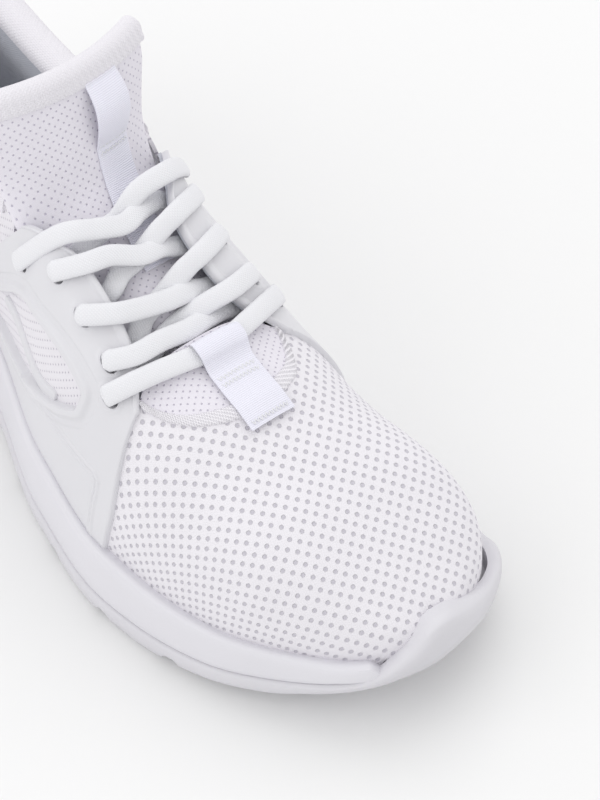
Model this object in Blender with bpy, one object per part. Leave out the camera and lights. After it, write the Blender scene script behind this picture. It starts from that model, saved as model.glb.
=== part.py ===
"""A right running shoe as separate solids: sole unit, upper layers, tongue and lacing.

Frame: +X to the toe, +Y to the inner side of the foot, +Z up, and the origin on the ground
under the middle of the shoe.  Dimensions below are in millimetres, and MM turns them into metres.
"""
import math

import bmesh
import bpy
import numpy as np
from mathutils import Vector

MM = 0.001

# Overall size
LENGTH = 300.0
HALF = LENGTH / 2
TOE_ROUND = 77.0
HEEL_ROUND = 52.0

# Profiles along the shoe, as (x, value)
CENTRE = [(-150, 0), (-100, 0), (-40, 4), (20, -4), (60, -1.0), (100, 5.5), (130, 11.5), (150, 8)]
HALF_WIDTH = [(-150, 41), (-100, 42), (-40, 37), (20, 45), (60, 52), (100, 51.5), (130, 51.5), (150, 47)]
GROUND = [(-150, 8), (-128, 1.5), (-112, 0), (-100, 0), (60, 0), (70, 0), (90, 2), (110, 5.5), (130, 11), (150, 19)]
BED = [(-150, 29), (-110, 26), (-50, 23), (0, 18), (60, 14), (100, 15.5), (130, 21.5), (150, 29)]
RIM = [(-150, 47), (-110, 43), (-40, 36), (20, 32.4), (60, 28.2), (100, 25.5), (130, 26.5), (150, 33)]
BAND_OUTER_SIDE = [(-150, 17), (-125, 9.5), (-110, 8), (60, 8), (90, 10), (115, 14), (130, 18), (136, 20),
                   (141, 22.2), (143, 23.2), (146, 30), (148, 35), (149.2, 40), (150, 43)]
BAND_INNER_SIDE = [(-150, 17), (-125, 9.5), (-110, 8), (60, 8), (90, 10), (110, 13.5), (116, 15.5), (124, 21.5),
                   (134, 28), (142, 34.5), (144, 37.5), (146, 39.5), (150, 43)]
RIDGE = [(-120, 146), (-60, 142), (-30, 132), (-3, 119), (12, 111), (26, 102), (39, 93), (50, 85.5), (60, 79),
         (75, 71), (90, 65), (105, 59), (118, 52)]
TOPLINE = [(-150, 101), (-130, 99), (-100, 92), (-75, 89), (-50, 90), (-30, 95), (-12, 101)]

# Sole
GROOVES = (4.0, 32.0, 60.0, 88.0)
GROOVE_DEPTH = 2.2
GUARD_STEPS = (106.0, 110.0, 114.0, 119.0, 128.0, 134.0, 138.0, 141.5, 143.0, 144.5, 146.0, 148.0, 149.2)
INNER_TUCK = 0.5
UPPER_INSET = 6.0
SOLE_GAP = 0.35
OUTSOLE_FLOOR = 5.0
BOARD_THICKNESS = 1.0
SOCKLINER_THICKNESS = 4.0

# Upper: exponents of the rounded section, and the layers as (inner, outer) heights over the shell's face
SIDE_POWER = 2.5
CROWN_POWER = 2.3
OUTER_FULLNESS = (1.1, 0.7)
INNER_FULLNESS = (1.9, 1.3)
INNER_FALL = 3.0
THROAT_SINK = [(-34, 0), (-12, 4), (0, 6.5), (12, 7.5), (30, 7.2), (42, 6.6), (52, 4.6), (62, 1.5), (70, 0),
               (90, 0)]
TOE_SPINE = 118.0
HEEL_SPINE = -120.0
SHELL = (-1.2, 0.0)
STIFFENER = (-3.0, -1.75)
LINING = (-4.5, -3.4)
OVERLAY = (0.6, 2.0)
FINE_TRIM = (0.35, 1.05)
SEAM_GAP = 1.6

# Lacing: the pairs of eyelets from the ankle down, and the eyestay's edges, as (x, turn round the section)
EYELETS = {-1: [(-5.0, 0.232), (9.5, 0.312), (23.0, 0.325), (36.5, 0.328), (43.0, 0.290)],
           1: [(-5.0, 0.245), (7.5, 0.285), (21.0, 0.300), (34.0, 0.300), (40.5, 0.272)]}
EYESTAY_INNER = [(-24, 0.190), (-12, 0.255), (-4, 0.305), (4.5, 0.352), (10, 0.383), (16, 0.398), (28, 0.404),
                 (35.5, 0.399), (42, 0.384), (50, 0.338)]
BACKING_OUTER = [(-12, 0.150), (-4, 0.190), (9.5, 0.240), (23.5, 0.258), (36, 0.260), (48, 0.232)]
LACE_RADIUS = 2.0
EYELET_RADIUS = 3.0

# Tongue centre line as (x, z), from the throat to its top edge
TONGUE_LINE = [(51, 74), (40, 77.5), (26, 84.5), (12, 92.5), (1, 98.5), (-7, 105), (-13, 115), (-18, 126),
               (-22, 137.5)]
TONGUE_HALF_WIDTH = [(0, 19), (0.25, 21), (0.42, 19.5), (0.52, 18), (0.62, 18), (0.72, 22), (0.8, 28), (0.9, 31.5), (1, 30)]
TONGUE_DROP = [(0, 7), (0.3, 8.5), (0.6, 10.5), (0.8, 10), (1, 9)]

COLOURS = {
    "rubber": ((0.80, 0.79, 0.82), 0.45),
    "foam": ((0.79, 0.78, 0.82), 0.55),
    "moulded": ((0.80, 0.80, 0.83), 0.35),
    "mesh": ((0.88, 0.86, 0.88), 0.85),
    "knit": ((0.80, 0.79, 0.84), 0.9),
    "ribbon": ((0.86, 0.86, 0.93), 0.5),
    "lining": ((0.62, 0.64, 0.69), 0.9),
    "padding": ((0.85, 0.85, 0.82), 0.9),
    "board": ((0.75, 0.75, 0.73), 0.9),
    "stiffener": ((0.7, 0.7, 0.72), 0.6),
    "lace": ((0.90, 0.90, 0.92), 0.8),
    "tip": ((0.85, 0.85, 0.88), 0.2),
}


def clear_scene():
    for old in list(bpy.data.objects):
        bpy.data.objects.remove(old)


def level_slopes(xs, ys):
    """Slopes that keep a curve between its points: flat at a high, a low or a level stretch."""
    slopes = np.gradient(ys, xs)
    secants = np.diff(ys) / np.diff(xs)
    before = np.concatenate([secants[:1], secants])
    after = np.concatenate([secants, secants[-1:]])
    turning = before * after <= 0
    limit = 3 * np.minimum(np.abs(before), np.abs(after))
    return np.where(turning, 0.0, np.clip(slopes, -limit, limit))


def curve(points, free=False):
    """A smooth function through points that are sorted by their first value."""
    xs = np.array([p[0] for p in points], float)
    ys = np.array([p[1] for p in points], float)
    slopes = np.gradient(ys, xs) if free else level_slopes(xs, ys)

    def value(x):
        x = np.asarray(x, float)
        i = np.clip(np.searchsorted(xs, x) - 1, 0, len(xs) - 2)
        step = xs[i + 1] - xs[i]
        s = np.clip((x - xs[i]) / step, 0, 1)
        rise = ys[i + 1] - ys[i]
        bend = s * (1 - s) ** 2 * slopes[i] - s ** 2 * (1 - s) * slopes[i + 1]
        past = np.minimum(x - xs[0], 0) * slopes[0] + np.maximum(x - xs[-1], 0) * slopes[-1]
        return ys[i] + rise * s * s * (3 - 2 * s) + step * bend + past

    return value


centre = curve(CENTRE)
half_width = curve(HALF_WIDTH)
ground = curve(GROUND)
bed = curve(BED)
rim = curve(RIM)
ridge = curve(RIDGE)
topline = curve(TOPLINE)
throat_sink = curve(THROAT_SINK)
band = {-1: curve(BAND_OUTER_SIDE), 1: curve(BAND_INNER_SIDE)}


def ease(low, high, x):
    """0 before low, 1 after high, smooth between."""
    s = np.clip((np.asarray(x, float) - low) / (high - low), 0, 1)
    return s * s * (3 - 2 * s)


def mix(a, b, k):
    return a + (b - a) * k


def end_round(fraction):
    """How far the width has closed, for a place from -1 at the heel to 1 at the toe."""
    toe = np.clip((fraction - 1) * HALF / TOE_ROUND + 1, 0, 1)
    heel = np.clip((-fraction - 1) * HALF / HEEL_ROUND + 1, 0, 1)
    return (1 - toe ** 2.3) ** 0.5115 * (1 - heel ** 2.4) ** 0.4167


def outline(angle, inset, side):
    """The plan outline moved in by inset; side is -1 for the outer side and 1 for the inner one."""
    angle = np.asarray(angle, float)
    x = -(HALF - inset) * np.cos(angle)
    y = centre(x) + side * (half_width(x) - inset) * end_round(-np.cos(angle))
    return x, y


# ---------------------------------------------------------------- surface of the upper

def spine_x(x):
    """Where on the ridge the wall that starts at x on the sole ends."""
    toe_start = 80.0
    heel_start = -90.0
    reach = HALF - UPPER_INSET
    q = np.clip((x - toe_start) / (reach - toe_start), 0, 1)
    k = (reach - toe_start) / (TOE_SPINE - toe_start)
    toe = toe_start + (TOE_SPINE - toe_start) * (k * q - (k - 1) * q * q)
    r = np.clip((heel_start - x) / (reach + heel_start), 0, 1)
    m = (reach + heel_start) / (heel_start - HEEL_SPINE)
    heel = heel_start + (HEEL_SPINE - heel_start) * (m * r - (m - 1) * r * r)
    return np.where(x > toe_start, toe, np.where(x < heel_start, heel, x))


def wall_point(angle, turn):
    """A point of the shell's outer face; turn runs from 0 (outer feather edge) over 0.5 (ridge) to 1."""
    foot_x = -(HALF - UPPER_INSET) * np.cos(angle)
    width = (half_width(foot_x) - UPPER_INSET) * end_round(-np.cos(angle))
    across = np.cos(np.pi * turn)
    full = ease(78, 125, foot_x)
    inner = np.where(turn > 0.5, 1.0, 0.0) * (1 - ease(138, 144, foot_x))
    side_power = SIDE_POWER + mix(OUTER_FULLNESS[0], INNER_FULLNESS[0], inner) * full
    crown_power = CROWN_POWER + mix(OUTER_FULLNESS[1], INNER_FULLNESS[1], inner) * full
    wall = np.abs(across) ** (2 / side_power)
    height = np.abs(np.sin(np.pi * turn)) ** (2 / crown_power)
    top_x = spine_x(foot_x)
    x = mix(top_x, foot_x, wall)
    y = mix(centre(top_x), centre(foot_x) - np.sign(across) * width, wall)
    base = bed(foot_x) + 0.3
    slope = (ridge(top_x) - ridge(top_x - 1.0)) * ease(80, 110, top_x)
    fall = INNER_FALL * ease(30, 50, foot_x) * (1 - ease(65, 90, foot_x))
    fall = fall * np.sin(np.pi * np.clip(turn * 2 - 1, 0, 1)) ** 2
    flat = throat_sink(np.clip(foot_x, -34, 90)) * ease(0.25, 0.42, np.minimum(turn, 1 - turn))
    z = base + (ridge(top_x) - base) * height + slope * (x - top_x) * height ** 2 - fall - flat
    return np.stack([x, y, z], -1)


def wall_normal(angle, turn):
    edge = 0.03
    angle = np.clip(angle, edge, np.pi - edge)
    turn = np.clip(turn, 0.004, 0.996)
    along = wall_point(angle + 0.004, turn) - wall_point(angle - 0.004, turn)
    around = wall_point(angle, turn + 0.002) - wall_point(angle, turn - 0.002)
    normal = np.cross(along, around)
    return normal / np.linalg.norm(normal, axis=-1, keepdims=True)


def upper(angle, turn, height=0.0):
    """A point at a height over the shell's outer face, inwards when the height is negative."""
    angle = np.asarray(angle, float)
    turn = np.asarray(turn, float)
    angle, turn = np.broadcast_arrays(angle, turn)
    normal = wall_normal(angle, turn)
    mirrored = wall_normal(angle, 1 - turn)
    at_end = (np.abs(np.cos(angle)) > 0.999999)[..., None]
    shared = normal + mirrored
    shared = shared / np.linalg.norm(shared, axis=-1, keepdims=True)
    normal = np.where(at_end, shared, normal)
    return wall_point(angle, turn) + normal * np.asarray(height, float)[..., None]


def angle_of(x):
    """The angle of the wall whose foot is at x."""
    return np.arccos(np.clip(-np.asarray(x, float) / (HALF - UPPER_INSET), -1, 1))


def turn_at_width(x, offset):
    """The turn on the outer half where the wall is this far from the centre line."""
    width = (half_width(x) - UPPER_INSET) * end_round(np.asarray(x, float) / (HALF - UPPER_INSET))
    return np.arccos(np.clip(offset / width, 0, 1) ** (SIDE_POWER / 2)) / np.pi


def turn_at_height(x, z):
    """The turn on the outer half where the wall is this high."""
    base = bed(x) + 0.3
    h = np.clip((z - base) / (ridge(spine_x(np.asarray(x, float))) - base), 0, 1)
    return np.arcsin(h ** (CROWN_POWER / 2)) / np.pi


# ---------------------------------------------------------------- mesh helpers

def material(kind):
    name = "part_" + kind
    if name in bpy.data.materials:
        return bpy.data.materials[name]
    colour, roughness = COLOURS[kind]
    made = bpy.data.materials.new(name)
    made.use_nodes = True
    shader = made.node_tree.nodes["Principled BSDF"]
    shader.inputs["Base Color"].default_value = (*colour, 1)
    shader.inputs["Roughness"].default_value = roughness
    shader.inputs["Metallic"].default_value = 0.0
    return made


def add_object(name, points, faces, kind, pivot=(0, 0, 0)):
    """Makes one closed object from points in millimetres, with its origin at the pivot."""
    pivot = np.array(pivot, float)
    mesh = bpy.data.meshes.new(name)
    mesh.from_pydata([tuple((np.array(p) - pivot) * MM) for p in points], [], faces)
    work = bmesh.new()
    work.from_mesh(mesh)
    bmesh.ops.remove_doubles(work, verts=work.verts, dist=0.02 * MM)
    bmesh.ops.recalc_face_normals(work, faces=work.faces)
    bmesh.ops.triangulate(work, faces=work.faces)
    work.to_mesh(mesh)
    work.free()
    mesh.shade_smooth()
    mesh.set_sharp_from_angle(angle=math.radians(40))
    mesh.materials.append(material(kind))
    made = bpy.data.objects.new(name, mesh)
    made.location = pivot * MM
    bpy.context.scene.collection.objects.link(made)
    return made


def thicken(name, outer, inner, kind, pivot=(0, 0, 0)):
    """A closed solid between two grids of points with the same rows and columns."""
    rows, columns = outer.shape[:2]
    top = outer.reshape(-1, 3)
    bottom = inner.reshape(-1, 3)
    keys = {}
    index = []
    for point in top:
        key = tuple(np.round(point, 2))
        index.append(keys.setdefault(key, len(index)))
    count = len(top)
    faces = []
    edges = {}
    for r in range(rows - 1):
        for c in range(columns - 1):
            ring = [r * columns + c, r * columns + c + 1, (r + 1) * columns + c + 1, (r + 1) * columns + c]
            ring = [index[i] for i in ring]
            ring = [v for k, v in enumerate(ring) if v != ring[k - 1]]
            if len(ring) < 3:
                continue
            faces.append(ring)
            faces.append([v + count for v in reversed(ring)])
            for k in range(len(ring)):
                edge = (ring[k], ring[(k + 1) % len(ring)])
                if (edge[1], edge[0]) in edges:
                    del edges[(edge[1], edge[0])]
                else:
                    edges[edge] = True
    for a, b in edges:
        faces.append([b, a, a + count, b + count])
    return add_object(name, np.concatenate([top, bottom]), faces, kind, pivot)


def layer(name, angles, turns, heights, kind):
    """A panel of the upper between two heights over the shell."""
    inner, outer = heights
    inner = np.broadcast_to(inner, angles.shape)
    outer = np.broadcast_to(outer, angles.shape)
    return thicken(name, upper(angles, turns, outer), upper(angles, turns, inner), kind)


def ruled(rear, front, rows, columns):
    """Angles and turns of a panel between two edges, each a function of 0 to 1 giving (x, turn)."""
    angles = []
    turns = []
    for v in np.linspace(0, 1, rows + 1):
        x0, t0 = rear(v)
        x1, t1 = front(v)
        along = np.linspace(0, 1, columns + 1)
        angles.append(mix(angle_of(x0), angle_of(x1), along))
        turns.append(mix(t0, t1, along))
    return np.array(angles), np.array(turns)


def wrapped(front_x, low, high, rows, columns):
    """Angles and turns of a panel round the heel, from the outer side to the inner one."""
    along = np.linspace(angle_of(front_x), 0, columns + 1)
    foot_x = -(HALF - UPPER_INSET) * np.cos(along)
    bottom = low(foot_x)
    top = high(foot_x)
    v = np.linspace(0, 1, rows + 1)[:, None]
    turns = bottom + (top - bottom) * v
    angles = np.broadcast_to(along, turns.shape)
    return np.hstack([angles, angles[:, -2::-1]]), np.hstack([turns, 1 - turns[:, -2::-1]])


def mirrored_panel(angles, turns):
    return angles, 1 - turns


def ring_solid(name, angles, levels, kind, pivot=(0, 0, 0)):
    """A solid from closed rings; each level is a function of side giving an inset and a height for each x."""
    points = []
    columns = len(angles)
    for level in levels:
        for side in (-1, 1):
            inset, height = level(side)
            x, y = outline(angles, inset, side)
            points.extend(np.stack([x, y, height(x)], -1))
    faces = []

    def at(k, side, c):
        return (2 * k + side) * columns + c

    for c in range(columns - 1):
        faces.append([at(0, 0, c), at(0, 1, c), at(0, 1, c + 1), at(0, 0, c + 1)])
        last = len(levels) - 1
        faces.append([at(last, 0, c + 1), at(last, 1, c + 1), at(last, 1, c), at(last, 0, c)])
        for k in range(len(levels) - 1):
            for side in (0, 1):
                ring = [at(k, side, c), at(k, side, c + 1), at(k + 1, side, c + 1), at(k + 1, side, c)]
                faces.append(ring if side == 0 else ring[::-1])
    joined = {}
    index = []
    for point in points:
        index.append(joined.setdefault(tuple(np.round(point, 2)), len(index)))
    clean = []
    for face in faces:
        ring = [index[i] for i in face]
        ring = [v for k, v in enumerate(ring) if v != ring[k - 1]]
        if len(ring) > 2:
            clean.append(ring)
    return add_object(name, points, clean, kind, pivot)


# ---------------------------------------------------------------- sole unit

def sole_angles():
    spread = np.linspace(0, np.pi, 33)
    extra = []
    for place in GROOVES:
        for step in (-3.2, -1.6, 1.6, 3.2):
            extra.append(np.arccos(-(place + step) / HALF))
    extra += [np.arccos(-place / HALF) for place in GUARD_STEPS]
    keep = [a for a in spread if min(abs(a - b) for b in extra) > 0.02]
    return np.array(sorted(keep + extra))


def groove_rise(x):
    rise = np.zeros_like(x)
    for place in GROOVES:
        rise = np.maximum(rise, GROOVE_DEPTH * np.clip((3.2 - np.abs(x - place)) / 1.6, 0, 1))
    return rise


def make_outsole():
    angles = sole_angles()
    along = -HALF * np.cos(angles)
    grooves = groove_rise(along)

    def level(plain, guarded, height, undercut=0.0):
        def at_side(side):
            raised = ease(24, 38, band[side](along))
            tuck = ease(118, 146, along) * (1.0 if side < 0 else mix(INNER_TUCK, 1.0, ease(143, 150, along)))
            inset = mix(plain, guarded, raised) + undercut * tuck
            return inset, lambda x: height(x, band[side](along), raised, tuck)
        return at_side

    levels = [
        level(2.0, 2.5, lambda x, top, raised, tuck: ground(x) + grooves, 6.0),
        level(0.3, 0.8, lambda x, top, raised, tuck: ground(x) + 1.9 + 1.6 * tuck + grooves * 0.8, 2.8),
        level(0.0, 0.0, lambda x, top, raised, tuck: mix(ground(x) + 2.6, top, 0.4 + 0.25 * tuck)),
        level(0.6, 1.6, lambda x, top, raised, tuck: top - 0.9),
        level(1.8, 5.2, lambda x, top, raised, tuck: top),
        level(4.2, 6.6, lambda x, top, raised, tuck: top - 0.7),
        level(4.2, 5.3, lambda x, top, raised, tuck: mix(ground(x) + OUTSOLE_FLOOR + 0.8, bed(x) + 3.0, raised)),
        level(4.2, 5.3, lambda x, top, raised, tuck: ground(x) + OUTSOLE_FLOOR),
    ]
    return ring_solid("outsole", angles, levels, "rubber")


def lowered(side, x):
    """1 where the midsole's rim has come down to its bed, ready to pass behind the toe guard."""
    return ease(138, 141.5, x) if side < 0 else ease(106, 110, x)


def withdrawn(side, x):
    """1 where the midsole has stepped in behind the toe guard."""
    return ease(141.5, 144.5, x) if side < 0 else ease(110, 114, x)


def make_midsole():
    angles = sole_angles()
    along = -HALF * np.cos(angles)

    def level(plain, guarded, plain_z, below_bed):
        def at_side(side):
            inset = mix(plain, guarded, withdrawn(side, along))
            return inset, lambda x: mix(plain_z(side, x), bed(x) - below_bed, lowered(side, along))
        return at_side

    def crease(side, below_bed, rise):
        return np.minimum(band[side](along) + SOLE_GAP + rise, bed(along) - below_bed)

    levels = [
        (lambda side: (mix(6.2, 6.8, withdrawn(side, along)), lambda x: ground(x) + OUTSOLE_FLOOR + SOLE_GAP)),
        level(5.9, 6.8, lambda side, x: crease(side, 2.4, 0.0), 2.4),
        level(1.2, 6.6, lambda side, x: crease(side, 2.1, 0.1), 2.1),
        level(1.5, 6.6, lambda side, x: mix(crease(side, 2.0, 0.1), rim(x), 0.4), 1.6),
        level(2.6, 6.7, lambda side, x: rim(x) - 1.0, 1.1),
        level(4.2, 6.9, lambda side, x: rim(x), 0.6),
        level(5.15, 7.2, lambda side, x: rim(x) - 0.9, 0.3),
        level(5.15, 8.4, lambda side, x: bed(x), 0.0),
    ]
    return ring_solid("midsole", angles, levels, "foam")


def flat_sheet(name, levels, kind, pivot=(0, 0, 0)):
    """A thin sheet on the bed of the midsole, from (inset, height over the bed) pairs."""
    angles = np.linspace(0, np.pi, 31)
    made = [(lambda side, inset=inset, rise=rise: (inset, lambda x: bed(x) + rise)) for inset, rise in levels]
    return ring_solid(name, angles, made, kind, pivot)


def make_board():
    return flat_sheet("strobel_board", [(11.6, 0.4), (11.6, 0.4 + BOARD_THICKNESS)], "board")


SOCKLINER_PIVOT = (136.0, 11.0, 26.5)


def make_sockliner():
    low = 0.4 + BOARD_THICKNESS + 0.4
    levels = [(13.2, low), (12.6, low + 0.8), (12.6, low + SOCKLINER_THICKNESS - 0.8), (13.8, low + SOCKLINER_THICKNESS)]
    return flat_sheet("sockliner", levels, "lining", SOCKLINER_PIVOT)


# ---------------------------------------------------------------- upper panels

VAMP_EDGE = curve([(0, 56), (0.05, 56), (0.13, 57), (0.23, 55), (0.29, 52.5), (0.335, 50.5), (0.363, 57), (0.393, 62.5),
                   (0.43, 66.5), (0.5, 69.5), (0.57, 67), (0.607, 63.5), (0.637, 57.5), (0.665, 50.5), (0.71, 52.5),
                   (0.77, 55), (0.87, 57), (0.95, 56), (1, 56)])
TIP_X = HALF - UPPER_INSET


def toe_region(rear_x, rows, columns):
    """Angles and turns from a rear edge, x as a function of turn, to the tip of the toe."""
    turns = np.linspace(0, 1, rows + 1)
    start = angle_of(rear_x(turns))
    along = np.linspace(0, 1, columns + 1)
    angles = start[:, None] + (np.pi - start[:, None]) * along
    return angles, np.broadcast_to(turns[:, None], angles.shape)


def make_toe_layers():
    layer("vamp_mesh", *toe_region(VAMP_EDGE, 20, 10), SHELL, "mesh")
    layer("toe_puff", *toe_region(lambda t: 112.0 + 0 * t, 16, 5), STIFFENER, "stiffener")
    layer("vamp_lining", *toe_region(lambda t: 53.0 + 0 * t, 16, 9), LINING, "lining")


def make_throat_panel():
    low = 0.362
    angles, turns = ruled(lambda v: (44.8, mix(0.394, 0.606, v)),
                          lambda v: (VAMP_EDGE(mix(low, 1 - low, v)) - SEAM_GAP, mix(low, 1 - low, v)), 8, 3)
    layer("throat_panel", angles, turns, SHELL, "knit")


def make_vamp_seam():
    """The arched seam band over the joint of the throat panel and the vamp."""
    low = 0.372
    angles, turns = ruled(lambda v: (VAMP_EDGE(mix(low, 1 - low, v)) - 2.6, mix(low, 1 - low, v)),
                          lambda v: (VAMP_EDGE(mix(low, 1 - low, v)) + 1.4, mix(low, 1 - low, v)), 14, 1)
    layer("vamp_seam_band", angles, turns, FINE_TRIM, "knit")


eyestay_inner = curve(EYESTAY_INNER)
backing_outer = curve(BACKING_OUTER)
THROAT_REAR = -11.0
THROAT_FRONT = 46.5


def quarter_top(x):
    """The upper edge of the quarters: the topline at the back, the backing's outer edge in front."""
    back = turn_at_height(x, topline(x) - 3.0)
    front = backing_outer(np.maximum(x, THROAT_REAR)) - 0.012
    return mix(back, front, ease(-20, THROAT_REAR - 1.5, x))


def quarter_grid(v_rows, columns, foot_gap):
    """One quarter from the heel seam to the vamp."""
    share = np.linspace(0, 1, v_rows + 1)
    front_x = VAMP_EDGE(share * 0.225) - SEAM_GAP
    start = angle_of(-(TIP_X) * math.cos(foot_gap))
    angles = []
    turns = []
    for v, x1 in zip(share, front_x):
        along = np.linspace(0, 1, columns + 1)
        row = mix(start, angle_of(x1), along)
        foot = -TIP_X * np.cos(row)
        angles.append(row)
        turns.append(v * quarter_top(foot))
    return np.array(angles), np.array(turns)


def make_quarters():
    angles, turns = quarter_grid(7, 17, 0.03)
    layer("lateral_quarter", angles, turns, SHELL, "mesh")
    layer("medial_quarter", *mirrored_panel(angles, turns), SHELL, "mesh")


def make_linings():
    def half_way(x):
        return turn_at_height(x, 54.0 + 0 * x)

    def zero(x):
        return 0 * x

    angles, turns = wrapped(51.0, zero, half_way, 3, 15)
    layer("quarter_lining", angles, turns, LINING, "lining")


COLLAR_FRONT = -24.0


def fullness(angle):
    """How thick the collar's padding is along the shoe: thin at its front ends, full at the ankle."""
    return 1 - ease(-62, COLLAR_FRONT, -TIP_X * np.cos(angle))


def collar_depth(angles, v):
    """How deep the collar's padding reaches at each share of its height."""
    return 4.0 + 5.4 * np.sin(np.pi * v ** 1.3 * 0.72) * fullness(angles)


def make_collar():
    def low(x):
        return turn_at_height(x, 55.5 + 0 * x)

    def high(x):
        return turn_at_height(x, topline(x) - 3.0)

    rows = 6
    angles, turns = wrapped(COLLAR_FRONT, low, high, rows, 12)
    depth = collar_depth(angles, np.linspace(0, 1, rows + 1)[:, None])
    layer("collar_foam", angles, turns, (-depth, -2.1), "padding")
    layer("collar_lining", angles, turns, (-depth - 1.5, -depth - 0.35), "lining")


def make_binding():
    """The rolled tape along the topline, round the ankle opening."""
    along = np.linspace(angle_of(COLLAR_FRONT), 0, 19)
    foot_x = -TIP_X * np.cos(along)
    depth = 5.6 + 4.7 * fullness(along)
    profile = [(0.2, 0.0, -2.5), (1.3, 0.0, -1.2), (0.9, 0.0, 0.9), (0.0, 0.2, 2.6), (0.0, 0.6, 3.0),
               (0.6, 0.95, 1.6), (0.3, 1.0, -0.6), (0.9, 1.0, -2.5)]
    rings = []
    for rise_out, share, rise in profile:
        turns = turn_at_height(foot_x, topline(foot_x) + rise)
        height = rise_out - share * depth
        near = upper(along, turns, height)
        far = upper(along, 1 - turns, height)
        rings.append(np.concatenate([near, far[-2::-1]]))
    return closed_tube("collar_binding", np.array(rings), "knit")


def closed_tube(name, grid, kind, pivot=(0, 0, 0)):
    """A solid from rows that run round a section; the ends are capped."""
    around, along = grid.shape[:2]
    points = grid.reshape(-1, 3)
    faces = []
    for r in range(around):
        s = (r + 1) % around
        for c in range(along - 1):
            faces.append([r * along + c, r * along + c + 1, s * along + c + 1, s * along + c])
    faces.append([r * along for r in range(around)])
    faces.append([r * along + along - 1 for r in reversed(range(around))])
    return add_object(name, points, faces, kind, pivot)


def make_heel_parts():
    def zero(x):
        return 0 * x

    def counter_top(x):
        return turn_at_height(x, 52.0 - 18.0 * ease(-120, -88, x))

    angles, turns = wrapped(-86.0, zero, counter_top, 3, 7)
    layer("heel_counter", angles, turns, STIFFENER, "stiffener")

    def strip_low(x):
        return turn_at_height(x, rim(x) + 1.2)

    def strip_high(x):
        return turn_at_height(x, topline(x) - 3.2)

    angles, turns = wrapped(-139.0, strip_low, strip_high, 6, 4)
    layer("heel_strip", angles, turns, OVERLAY, "moulded")


def saddle_grid():
    """The moulded saddle, from the sole up to the eyestay edge."""
    rows = 10
    columns = 15
    share = np.linspace(0, 1, rows + 1)
    angles = []
    turns = []
    for v in share:
        rear_x = mix(-96.0, -9.0, v)
        front_x = VAMP_EDGE(mix(0.045, 0.335, v)) + 1.2
        row = mix(angle_of(rear_x), angle_of(front_x), np.linspace(0, 1, columns + 1))
        foot = -TIP_X * np.cos(row)
        low = turn_at_height(foot, rim(foot) + 0.9)
        high = eyestay_inner(foot)
        angles.append(row)
        turns.append(mix(low, high, v))
    return np.array(angles), np.array(turns)


WINDOW_LOW = curve([(-50, 44.5), (-22, 48), (10, 55.5), (27, 60), (37, 66.5)])
WINDOW_HIGH = curve([(-50, 47), (-36, 57), (-21, 66.5), (-8, 77), (3, 85), (12, 86.5), (25, 82), (37, 73.5)])


def window_cutter(side):
    """A block across the saddle's wall, in the outline of the side window."""
    xs = np.linspace(-49, 36.5, 17)
    share = np.linspace(0, 1, 4)[:, None]
    turns = turn_at_height(xs, mix(WINDOW_LOW(xs), WINDOW_HIGH(xs), share))
    turns = turns if side < 0 else 1 - turns
    angles = angle_of(xs) + 0 * turns
    cutter = thicken("cut_window", upper(angles, turns, 3.5 + 0 * turns), upper(angles, turns, -0.9 + 0 * turns), "moulded")
    cutter.hide_render = True
    cutter.display_type = "WIRE"
    return cutter


def eyelet_cutter(x, turn, side, low, high):
    """A rod through an eyelet, along the wall's normal."""
    turn = turn if side < 0 else 1 - turn
    start = upper(angle_of(x), turn, np.array(low))
    end = upper(angle_of(x), turn, np.array(high))
    grid = rod_grid(start, end, EYELET_RADIUS, 10)
    cutter = closed_tube("cut_eyelet", grid, "lace")
    cutter.hide_render = True
    cutter.display_type = "WIRE"
    return cutter


def rod_grid(start, end, radius, sides):
    axis = Vector(end - start).normalized()
    one = np.array(axis.orthogonal().normalized())
    two = np.cross(np.array(axis), one)
    rings = []
    for k in range(sides):
        turn = 2 * math.pi * k / sides
        reach = (math.cos(turn) * one + math.sin(turn) * two) * radius
        rings.append([start + reach, end + reach])
    return np.array(rings)


def cut(target, cutter):
    step = target.modifiers.new("cut", "BOOLEAN")
    step.operation = "DIFFERENCE"
    step.solver = "EXACT"
    step.object = cutter


def make_saddles():
    angles, turns = saddle_grid()
    for side, name in ((-1, "lateral_saddle"), (1, "medial_saddle")):
        grid = (angles, turns) if side < 0 else mirrored_panel(angles, turns)
        saddle = layer(name, *grid, OVERLAY, "moulded")
        cut(saddle, window_cutter(side))
        for x, turn in EYELETS[side]:
            cut(saddle, eyelet_cutter(x, turn, side, -0.5, 3.2))


def make_eyelet_backings():
    """The reinforcing strips under the eyelets, in the same layer as the shell."""
    def outer(v):
        x = mix(THROAT_REAR, THROAT_FRONT, v)
        return x, backing_outer(x)

    def inner(v):
        x = mix(THROAT_REAR, THROAT_FRONT, v)
        return x, eyestay_inner(x) - 0.006

    angles, turns = ruled(outer, inner, 12, 2)
    for side, name in ((-1, "lateral_eyelet_backing"), (1, "medial_eyelet_backing")):
        grid = (angles, turns) if side < 0 else mirrored_panel(angles, turns)
        backing = layer(name, *grid, SHELL, "padding")
        for x, turn in EYELETS[side]:
            cut(backing, eyelet_cutter(x, turn, side, -2.4, 1.2))


def make_emblem():
    """A plain wave-shaped mark inside the outer side window."""
    xs = np.linspace(-18, 24, 15)
    middle = 62 + 2.0 * np.sin((xs + 18) / 42 * 2 * np.pi)
    angles = np.array([angle_of(xs)] * 2)
    turns = np.array([turn_at_height(xs, middle - 2.4), turn_at_height(xs, middle + 2.4)])
    layer("window_emblem", angles, turns, FINE_TRIM, "moulded")


# ---------------------------------------------------------------- tongue

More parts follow.
